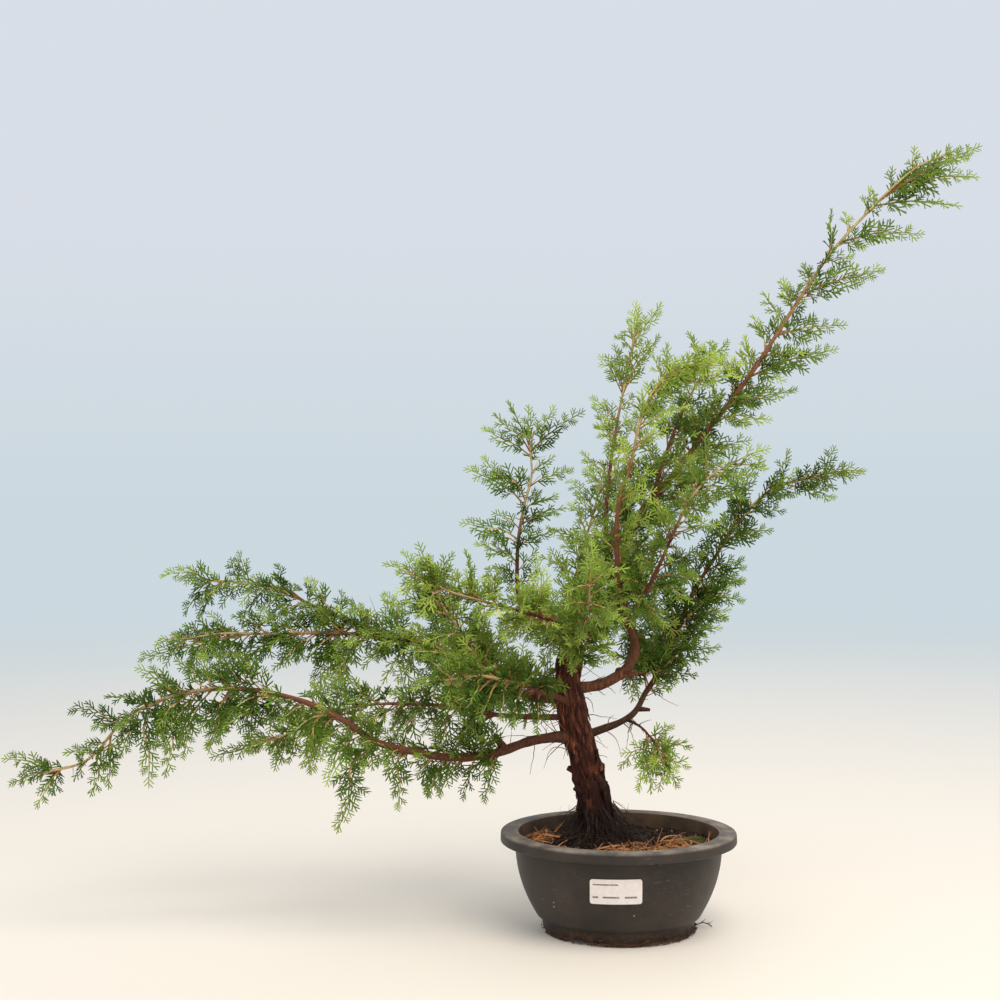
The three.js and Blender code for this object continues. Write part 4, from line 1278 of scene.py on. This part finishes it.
def make_moss(settings):
    """Short moss in a low cushion."""
    x, y, long, wide = MOSS
    rng = random.Random(61)
    stamps = Stamps({"blade": blade_shape()})
    for _ in range(1700):
        turn, away = rng.uniform(0, TURN), math.sqrt(rng.random())
        edge = away * (1 + 0.25 * math.sin(3 * turn) + 0.12 * math.sin(7 * turn + 1))
        spot = Vector((x + long * edge * math.cos(turn), y + wide * edge * math.sin(turn), 0)) * MM
        if spot.xy.length > 0.0785:
            continue
        full = 1 - min(away, 1) ** 2
        spot.z = ground_height(spot.x, spot.y, settings.lump) - 0.0006 + 0.0022 * full
        heading = Vector((rng.gauss(0, 0.5), rng.gauss(0, 0.5), 1))
        length = rng.uniform(0.0012, 0.0026)
        stamps.add("blade", aim(spot, heading, length, length), 0, rng.uniform(-1, 1))
    add_piece("moss_tufts", stamps.mesh("moss"), [moss_material(settings)], ["moss"])


def make_straggling_root(settings):
    """A root out of a foot arch, and root crumbs caught round the foot."""
    low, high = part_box("straggling_root")
    rng = random.Random(71)
    stamps = Stamps({"twig": twig_shape(5, 0), "crumb": crumb_shape()})
    start = Vector((low.x, (low.y + high.y) / 2, 0.0012))
    middle = Vector(((low.x + high.x) / 2 + 0.002, start.y, high.z * 0.6))
    tip = Vector((high.x, start.y, 0.0006))
    line = Line([start, start.lerp(middle, 0.35) + Vector((0, 0, -0.0009)), middle, tip])
    steps = 22
    for i in range(steps):
        here, ahead = line.at(i / steps), line.at((i + 1) / steps)
        stamps.add("twig", aim(here, ahead - here, (ahead - here).length, 0.0005), 0, 0.2)
    for share, side in ((0.45, 1), (0.6, -1), (0.75, 1), (0.5, -1), (0.35, 1)):
        heading = Vector((0.8, side * 0.7, 0.12))
        strand(
            stamps, rng, line.at(share), heading, rng.uniform(0.007, 0.011), 0.00028,
            pull=UP * 0.03, wander=0.10, tone=rng.uniform(-0.5, 1))
    for _ in range(420):
        out = spoke(rng.gauss(-0.9, 1.0))
        spot = out * ((FOOT_RADIUS + rng.uniform(0.4, 1.8)) * MM)
        spot.z = abs(rng.gauss(0, 0.0022)) + 0.0009
        size = rng.uniform(0.4, 1) * 0.0008
        if rng.random() < 0.5:
            stamps.add("crumb", Matrix.Translation(spot) @ Matrix.Scale(size, 4), 0, rng.uniform(-1, 1))
        else:
            along = Vector((-out.y, out.x, rng.gauss(0, 0.25))) * rng.choice((-1, 1))
            strand(
                stamps, rng, spot, along, rng.uniform(0.003, 0.007), 0.00020,
                pull=UP * 0.03, wander=0.10, tone=rng.uniform(-1, 1))
    mesh = stamps.mesh("straggling_root")
    for vert in mesh.vertices:
        vert.co.z = max(vert.co.z, 0.0002)
    fibre = fibre_material("Straggling root", settings.root, settings.straw_dark)
    add_piece("stray_roots", mesh, [fibre], ["straggling_root"])


# ---- Trunk and limbs -----------------------------------------------------------------------

def stub_line(lines, name, share, towards, length):
    """The line of a stub, from inside its limb to its broken end."""
    start = lines[name].at(share)
    reach = limb_radius(name, share) + length * MM
    end = start + Vector(towards).normalized() * reach
    return Line([start, start.lerp(end, 0.5), end])


def add_stubs(shape, lines, name):
    """Adds a piece of wood's stubs, each with a ragged end."""
    for limb, share, towards, length, radius in STUBS:
        if limb != name:
            continue

        def stub_radius(along, turn):
            ragged = 1 + 0.18 * math.sin(3 * turn + length) + 0.1 * math.sin(7 * turn)
            return radius * MM * (1.25 - 0.6 * along) * ragged

        line = stub_line(lines, name, share, towards, length)
        add_tube(shape, line, sides=14, steps=8, radius_at=stub_radius)


def make_trunk(settings):
    """The trunk: fluted and flared, in long ridges, with flakes lifting off."""
    lines = wood_lines()
    line = lines["trunk"]

    def trunk_radius(share, turn):
        above = (share * line.length / MM - TRUNK_BURIED) / FLARE_HEIGHT
        flare = max(0, 1 - max(above, 0)) ** 2
        buttress = 1 + 0.20 * flare * math.cos(5 * turn + 0.7) + 0.10 * flare * math.cos(3 * turn)
        wave = 1 + 0.06 * math.sin(3 * turn + share * 9) + 0.04 * math.sin(2 * turn - share * 23)
        strips = noise.fractal(spoke(turn) * 3.2 + UP * share * 7, 0.9, 2.1, 5)
        knots = noise.noise(spoke(turn) + UP * share * 16)
        lumps = 1 + 0.13 * noise.noise(spoke(turn) * 1.3 + UP * share * 13)
        plain = limb_radius("trunk", share) * buttress * wave * lumps
        return plain + settings.depth * (1.1 * strips + 0.9 * knots)

    def outward(share, turn):
        """The trunk's direction at a share of its length, and the way out from it at a turn."""
        heading = line.heading(share)
        side = heading.orthogonal().normalized()
        return heading, side * math.cos(turn) + heading.cross(side) * math.sin(turn)

    shape = bmesh.new()
    add_tube(shape, line, sides=96, steps=260, radius_at=trunk_radius)
    add_stubs(shape, lines, "trunk")
    bmesh.ops.recalc_face_normals(shape, faces=shape.faces)
    body = mesh_of("trunk_body", shape)
    rng = random.Random(5)
    stamps = Stamps({"flake": flake_shape(), "twig": twig_shape(4, 0)})
    for _ in range(settings.flakes):
        share, turn = rng.uniform(0.2, 0.9), rng.uniform(0, TURN)
        heading, out = outward(share, turn)
        length = rng.uniform(0.006, 0.018)
        start = line.at(share) + out * (limb_radius("trunk", share) * 1.03)
        lean = heading + out * rng.uniform(-0.04, 0.10) + out.cross(heading) * rng.gauss(0, 0.12)
        width = length * rng.uniform(0.5, 1)
        stamps.add("flake", aim(start, lean, length, width, -out), 0, rng.uniform(-1, 1))
    for _ in range(18):
        share, turn = rng.uniform(0.50, 0.98), rng.uniform(0, TURN)
        heading, out = outward(share, turn)
        start = line.at(share) + out * limb_radius("trunk", share) * 0.9
        strand(
            stamps, rng, start, out + heading * 0.4, rng.uniform(0.012, 0.040), 0.0005,
            pull=UP * rng.uniform(-0.16, 0.08), wander=0.22, tone=rng.uniform(-1, 0.6))
    bark = trunk_material(settings)
    add_piece("trunk_bark", stamps.mesh("trunk", body), [bark], ["trunk"])


def make_limbs(settings):
    """Each limb with knots, fine strips and bare twigs, paler towards its tip."""
    ring_gap, twig_gap, collar_length = 0.0028, 0.008, 0.018
    lines = wood_lines()
    bark = limb_material(settings)
    for seed, name in enumerate(LIMBS):
        line = lines[name]
        rng = random.Random(100 + seed)
        phase = rng.uniform(0, 50)

        def bark_radius(share, turn):
            along = share * line.length
            collar = 1 + 0.35 * max(0, 1 - along / collar_length) ** 2
            strips = noise.fractal(spoke(turn) * 1.6 + UP * (along * 60 + phase), 0.9, 2.0, 3)
            knots = noise.noise(Vector((phase, phase, along * 95)))
            return limb_radius(name, share) * collar * (1 + 0.16 * strips + 0.12 * knots)

        shape = bmesh.new()
        rings = max(24, round(line.length / ring_gap))
        add_tube(shape, line, sides=16, steps=rings, radius_at=bark_radius)
        add_stubs(shape, lines, name)
        bmesh.ops.recalc_face_normals(shape, faces=shape.faces)
        body = mesh_of(f"{name}_body", shape)
        stamps = Stamps({"twig": twig_shape(4, 0)})
        for _ in range(round(line.length / twig_gap)):
            share = rng.uniform(0.03, 1) ** 1.3
            heading = line.heading(share)
            out = heading.orthogonal().normalized()
            out.rotate(Matrix.Rotation(rng.uniform(0, TURN), 3, heading))
            strand(
                stamps, rng, line.at(share), out + heading * rng.uniform(0.3, 1.2),
                rng.uniform(0.008, 0.042) * (1 - 0.7 * share), 0.0005,
                pull=UP * rng.uniform(-0.06, 0.05), wander=0.14, tone=rng.uniform(-1, 1), fresh=0.4)
        mesh = stamps.mesh(name, body)
        tone, fresh = mesh.attributes["tone"].data, mesh.attributes["fresh"].data
        tones = read_numbers(tone, "value", 1).ravel()
        tones[:len(body.vertices)] = LIMB_TONES.get(name, 0)
        tone.foreach_set("value", tones)
        start, end = line.at(0), line.at(1)
        away = numpy.linalg.norm(read_numbers(mesh.vertices, "co", 3) - numpy.array(start), axis=1)
        outer = numpy.clip(away / (end - start).length, 0, 1) ** 1.2
        ages = numpy.maximum(read_numbers(fresh, "value", 1).ravel(), outer)
        fresh.foreach_set("value", ages.astype(numpy.float32))
        add_piece(f"{name}_bark", mesh, [bark], [name])


# ---- Foliage -------------------------------------------------------------------------------

def foliage_shapes():
    """The small shapes that all foliage is made of. Twigs use the second material."""
    return {
        "needled": sprig_shape(7, 0.62, 0.40, 0.062, False),
        "open": sprig_shape(6, 0.70, 0.16, 0.066, False),
        "corded": sprig_shape(4, 0.74, 0.12, 0.052, True),
        "blunt": sprig_shape(4, 0.58, 0.30, 0.056, True),
        "twig": twig_shape(3, 1),
    }


def inside_box(point):
    """The point, moved to the nearest place in the CAD's box if it's outside it."""
    low, high = cad_box
    return Vector([min(max(value, a), b) for value, a, b in zip(point, low, high)])


class Grower:
    """Grows shoots of foliage into a set of stamps."""

    def __init__(self, settings, stamps, seed, face, brightness):
        self.settings = settings
        self.stamps = stamps
        self.rng = random.Random(seed)
        self.face = Vector(face).normalized()
        self.brightness = brightness

    def drift(self, size):
        """A small random vector."""
        return Vector([self.rng.gauss(0, size) for _ in range(3)])

    def sprig(self, start, heading, normal, size, fresh, tone):
        """One sprig."""
        kinds = ("needled", "needled", "open") if fresh < 0.35 else ("open", "corded", "blunt")
        kind = self.rng.choice(kinds)
        shade = tone + self.rng.gauss(0, 0.2)
        paleness = min(max(fresh + 0.5 * self.brightness, 0), 1)
        self.stamps.add(kind, aim(start, heading, size, size, normal), paleness, shade)

    def frond(self, start, heading, normal, onward, length, fresh, tone):
        """A frond that bends onward, with sprigs on both sides, or one sprig if it's short."""
        rng, gap = self.rng, self.settings.sprig_gap
        size = self.settings.sprig_length
        point, side = start, rng.choice((-1, 1))
        for i in range(round((length - size) / gap)):
            heading = (heading + onward * 0.10 + self.drift(0.06)).normalized()
            across = heading.cross(normal).normalized() * side
            self.stamps.add("twig", aim(point, heading, gap, 0.00046), fresh, tone)
            lean = heading + across * rng.uniform(0.55, 0.95) + normal * rng.gauss(0, 0.3)
            self.sprig(
                point, lean, normal, size * rng.uniform(0.75, 1.05), fresh + 0.10, tone)
            point = point + heading * gap
            side = -side
        last = max(min(length, size * 1.15), size * 0.8)
        self.sprig(point, heading, normal, last * rng.uniform(0.95, 1.1), fresh + 0.22, tone)

    def shoot(self, start, tip, lead, spread, age):
        """A shoot: a twig, brown then yellow then green, with fronds on both sides."""
        rng = self.rng
        tip = inside_box(tip)
        reach = (tip - start).length
        line = Line([
            start,
            start.lerp(tip, 0.33) + lead * reach * 0.10 + self.drift(reach * 0.025),
            start.lerp(tip, 0.68) + UP * reach * 0.05 + self.drift(reach * 0.025),
            tip], 5)
        tone = self.brightness + rng.gauss(0, 0.4)
        face = (self.face + self.drift(0.35)).normalized()
        count = max(3, round(line.length / self.settings.frond_gap))
        side = rng.choice((-1, 1))
        bare = min(0.2, 0.006 / reach)
        for i in range(count):
            share = i / count
            here, there = line.at(share), line.at((i + 1) / count)
            heading = (there - here).normalized()
            normal = (face - heading * face.dot(heading)).normalized()
            girth = 0.0004 + 0.0011 * (1 - share) * min(reach / 0.09, 1)
            self.stamps.add(
                "twig", aim(here, heading, (there - here).length, girth),
                share + 0.25 * age, tone)
            side = -side
            if share < bare:
                continue
            full = min(1, 0.45 + 2.0 * share) * (1 - share) ** 0.7
            length = 0.0055 + spread * full * rng.uniform(0.7, 1.15)
            lean = heading + heading.cross(normal) * side * rng.uniform(0.6, 1.0)
            lean = (lean + normal * rng.gauss(0, 0.35)).normalized()
            self.frond(here, lean, normal, heading, length, age + 0.40 * share, tone)
        self.frond(tip, heading, normal, heading, 0.010, age + 0.5, tone)

    def long_shoots(self, limb, line, first, last):
        """The limb's longest shoots that start on a stretch of it."""
        for share, x, z in LONG_SHOOTS.get(limb, []):
            if not first <= share < last and not (last >= 1 and share >= 1):
                continue
            start = line.at(share)
            tip = tree_point((x, 0, z))
            reach = math.hypot(tip.x - start.x, tip.z - start.z)
            tip = start.lerp(tip, 1 - 0.008 / reach)
            tip.y = start.y + self.rng.gauss(0, 0.16) * reach
            spread = min(0.005 + 0.20 * reach, 0.019) * (1 - 0.35 * share ** 4)
            self.shoot(start, tip, line.heading(share), spread, 0.35)

    def short_shoots(self, line, first, last, count, reach, droop):
        """Shoots all round a stretch of a limb, widest across the face."""
        rng = self.rng
        for i in range(count):
            outward = ((i + rng.uniform(0.1, 0.9)) / count) ** 1.25
            share = first + (last - first) * outward
            heading = line.heading(share)
            out = heading.cross(self.face).normalized() * (1 if i % 2 else -1)
            out.rotate(Matrix.Rotation(rng.gauss(0, 1.3), 3, heading))
            lean = (heading * rng.uniform(0.4, 1.1) + out).normalized()
            length = reach * MM * rng.uniform(0.45, 1.05) * (1 - 0.3 * outward)
            start = line.at(share)
            tip = start + lean * length - UP * droop * length * 0.5
            spread = min(0.004 + 0.22 * length, 0.016)
            self.shoot(start, tip, heading, spread, rng.uniform(0.05, 0.4))


def make_sprays(settings):
    """Each spray of foliage along its stretch of limb."""
    lines = wood_lines()
    shapes = foliage_shapes()
    leaf, twig = leaf_material(settings), twig_material(settings)
    for seed, (name, values) in enumerate(SPRAYS.items()):
        limb, first, last, count, reach, face, droop, brightness = values
        stamps = Stamps(shapes)
        grower = Grower(settings, stamps, settings.seed * 1000 + seed, face, brightness)
        line = lines[limb]
        grower.long_shoots(limb, line, first, last)
        grower.short_shoots(line, first, last, count, reach, droop)
        if last >= 1:
            end, heading = line.at(0.99), line.heading(1)
            grower.shoot(end, end + heading * 0.5 * reach * MM, heading, 0.006, 0.5)
        add_piece(f"{name}_shoots", stamps.mesh(name), [leaf, twig], [name])


# ---- Stage ---------------------------------------------------------------------------------

def add_light(name, place, target, size, power, tint):
    """A square area light that looks at a target."""
    data = bpy.data.lights.new(name, "AREA")
    data.shape, data.size, data.energy, data.color = "SQUARE", size, power, tint
    light = bpy.data.objects.new(name, data)
    light.location = place
    light.rotation_euler = (Vector(target) - Vector(place)).to_track_quat("-Z", "Y").to_euler()
    bpy.context.scene.collection.objects.link(light)


def make_stage(settings):
    """Pale floor, soft light from above and both sides, and the camera."""
    shape = bmesh.new()
    bmesh.ops.create_circle(shape, cap_ends=True, segments=96, radius=60.0)
    floor = bpy.data.objects.new("floor", mesh_of("floor", shape))
    floor.data.materials.append(floor_material(settings))
    bpy.context.scene.collection.objects.link(floor)
    target = (-0.05, 0, 0.25)
    add_light("key", (0.7, -1.5, 2.5), target, 2.0, 72, (1.0, 0.97, 0.92))
    add_light("fill", (-1.9, -1.6, 1.3), target, 1.8, 9, (0.95, 0.98, 1.0))
    add_light("back", (0.4, 2.2, 2.2), target, 1.8, 14, (0.97, 0.99, 1.0))
    world = bpy.data.worlds.new("Pale studio")
    world.use_nodes = True
    bpy.context.scene.world = world
    nodes = Nodes(world.node_tree)
    heading = nodes.add("ShaderNodeTexCoord").outputs["Generated"]
    tint = nodes.mix(nodes.fit(nodes.part("Z", heading), 0.0, 0.16), settings.haze, settings.sky)
    nodes.plug(world.node_tree.nodes["Background"].inputs["Color"], tint)
    bpy.context.scene.view_settings.view_transform = "Standard"
    data = bpy.data.cameras.new("camera")
    data.lens, data.sensor_width = settings.lens, 36
    data.clip_end = 50
    camera = bpy.data.objects.new("camera", data)
    camera.location = settings.eye
    camera.rotation_euler = (math.radians(90), 0, 0)
    bpy.context.scene.collection.objects.link(camera)
    bpy.context.scene.camera = camera


# ---- Operators -----------------------------------------------------------------------------

class BONSAI_OT_pot(bpy.types.Operator):
    """Spin the pot, cut its drainage holes and give it dusty plastic"""
    bl_idname = "bonsai.pot"
    bl_label = "Pot"

    def execute(self, context):
        make_pot(context.scene.bonsai_pot)
        return {"FINISHED"}


class BONSAI_OT_label(bpy.types.Operator):
    """Lay the blank label on the pot's wall"""
    bl_idname = "bonsai.label"
    bl_label = "Label"

    def execute(self, context):
        make_label(context.scene.bonsai_pot)
        return {"FINISHED"}


class BONSAI_OT_soil(bpy.types.Operator):
    """Fill the pot with lumpy soil and scatter crumbs on it"""
    bl_idname = "bonsai.soil"
    bl_label = "Soil"

    def execute(self, context):
        make_soil(context.scene.bonsai_ground)
        return {"FINISHED"}


class BONSAI_OT_root_mat(bpy.types.Operator):
    """Mound the root mat at the trunk's foot and lay fine roots over it"""
    bl_idname = "bonsai.root_mat"
    bl_label = "Root mat"

    def execute(self, context):
        make_root_mat(context.scene.bonsai_ground)
        return {"FINISHED"}


class BONSAI_OT_litter(bpy.types.Operator):
    """Drop dry needles on the soil in three patches"""
    bl_idname = "bonsai.litter"
    bl_label = "Dry needles"

    def execute(self, context):
        make_litter(context.scene.bonsai_ground)
        return {"FINISHED"}


class BONSAI_OT_moss(bpy.types.Operator):
    """Grow a cushion of moss on the soil"""
    bl_idname = "bonsai.moss"
    bl_label = "Moss"

    def execute(self, context):
        make_moss(context.scene.bonsai_ground)
        return {"FINISHED"}


class BONSAI_OT_straggling_root(bpy.types.Operator):
    """Run a root out of a foot arch and catch crumbs round the foot"""
    bl_idname = "bonsai.straggling_root"
    bl_label = "Straggling root"

    def execute(self, context):
        make_straggling_root(context.scene.bonsai_ground)
        return {"FINISHED"}


class BONSAI_OT_trunk(bpy.types.Operator):
    """Raise the trunk with its flare, ridges, stubs and flakes"""
    bl_idname = "bonsai.trunk"
    bl_label = "Trunk"

    def execute(self, context):
        make_trunk(context.scene.bonsai_bark)
        return {"FINISHED"}


class BONSAI_OT_limbs(bpy.types.Operator):
    """Grow the limbs with their bark, stubs and bare twigs"""
    bl_idname = "bonsai.limbs"
    bl_label = "Limbs"

    def execute(self, context):
        make_limbs(context.scene.bonsai_bark)
        return {"FINISHED"}


class BONSAI_OT_sprays(bpy.types.Operator):
    """Grow the sprays of foliage on the limbs"""
    bl_idname = "bonsai.sprays"
    bl_label = "Foliage"

    def execute(self, context):
        make_sprays(context.scene.bonsai_foliage)
        return {"FINISHED"}


class BONSAI_OT_stage(bpy.types.Operator):
    """Set the floor, the lights and the camera"""
    bl_idname = "bonsai.stage"
    bl_label = "Stage"

    def execute(self, context):
        make_stage(context.scene.bonsai_stage)
        return {"FINISHED"}


SETTINGS = {
    "bonsai_pot": PotSettings,
    "bonsai_ground": GroundSettings,
    "bonsai_bark": BarkSettings,
    "bonsai_foliage": FoliageSettings,
    "bonsai_stage": StageSettings,
}
OPERATORS = [
    BONSAI_OT_pot, BONSAI_OT_label, BONSAI_OT_soil, BONSAI_OT_root_mat, BONSAI_OT_litter,
    BONSAI_OT_moss, BONSAI_OT_straggling_root, BONSAI_OT_trunk, BONSAI_OT_limbs,
    BONSAI_OT_sprays, BONSAI_OT_stage,
]


class BONSAI_PT_panel(bpy.types.Panel):
    """Lists the pieces and the settings"""
    bl_idname = "BONSAI_PT_panel"
    bl_label = "Potted bonsai"
    bl_space_type = "VIEW_3D"
    bl_region_type = "UI"
    bl_category = "Bonsai"

    def draw(self, context):
        for operator in OPERATORS:
            self.layout.operator(operator.bl_idname)
        for label, group in SETTINGS.items():
            box = self.layout.box()
            box.label(text=group.__doc__)
            for name in group.__annotations__:
                box.prop(getattr(context.scene, label), name)


CLASSES = [*SETTINGS.values(), *OPERATORS, BONSAI_PT_panel]


def register():
    for item in CLASSES:
        bpy.utils.register_class(item)
    for label, group in SETTINGS.items():
        setattr(bpy.types.Scene, label, PointerProperty(type=group))


def unregister():
    for label in SETTINGS:
        delattr(bpy.types.Scene, label)
    for item in reversed(CLASSES):
        bpy.utils.unregister_class(item)


def main():
    register()
    for operator in OPERATORS:
        module, name = operator.bl_idname.split(".")
        getattr(getattr(bpy.ops, module), name)()


if __name__ == "__main__":
    main()
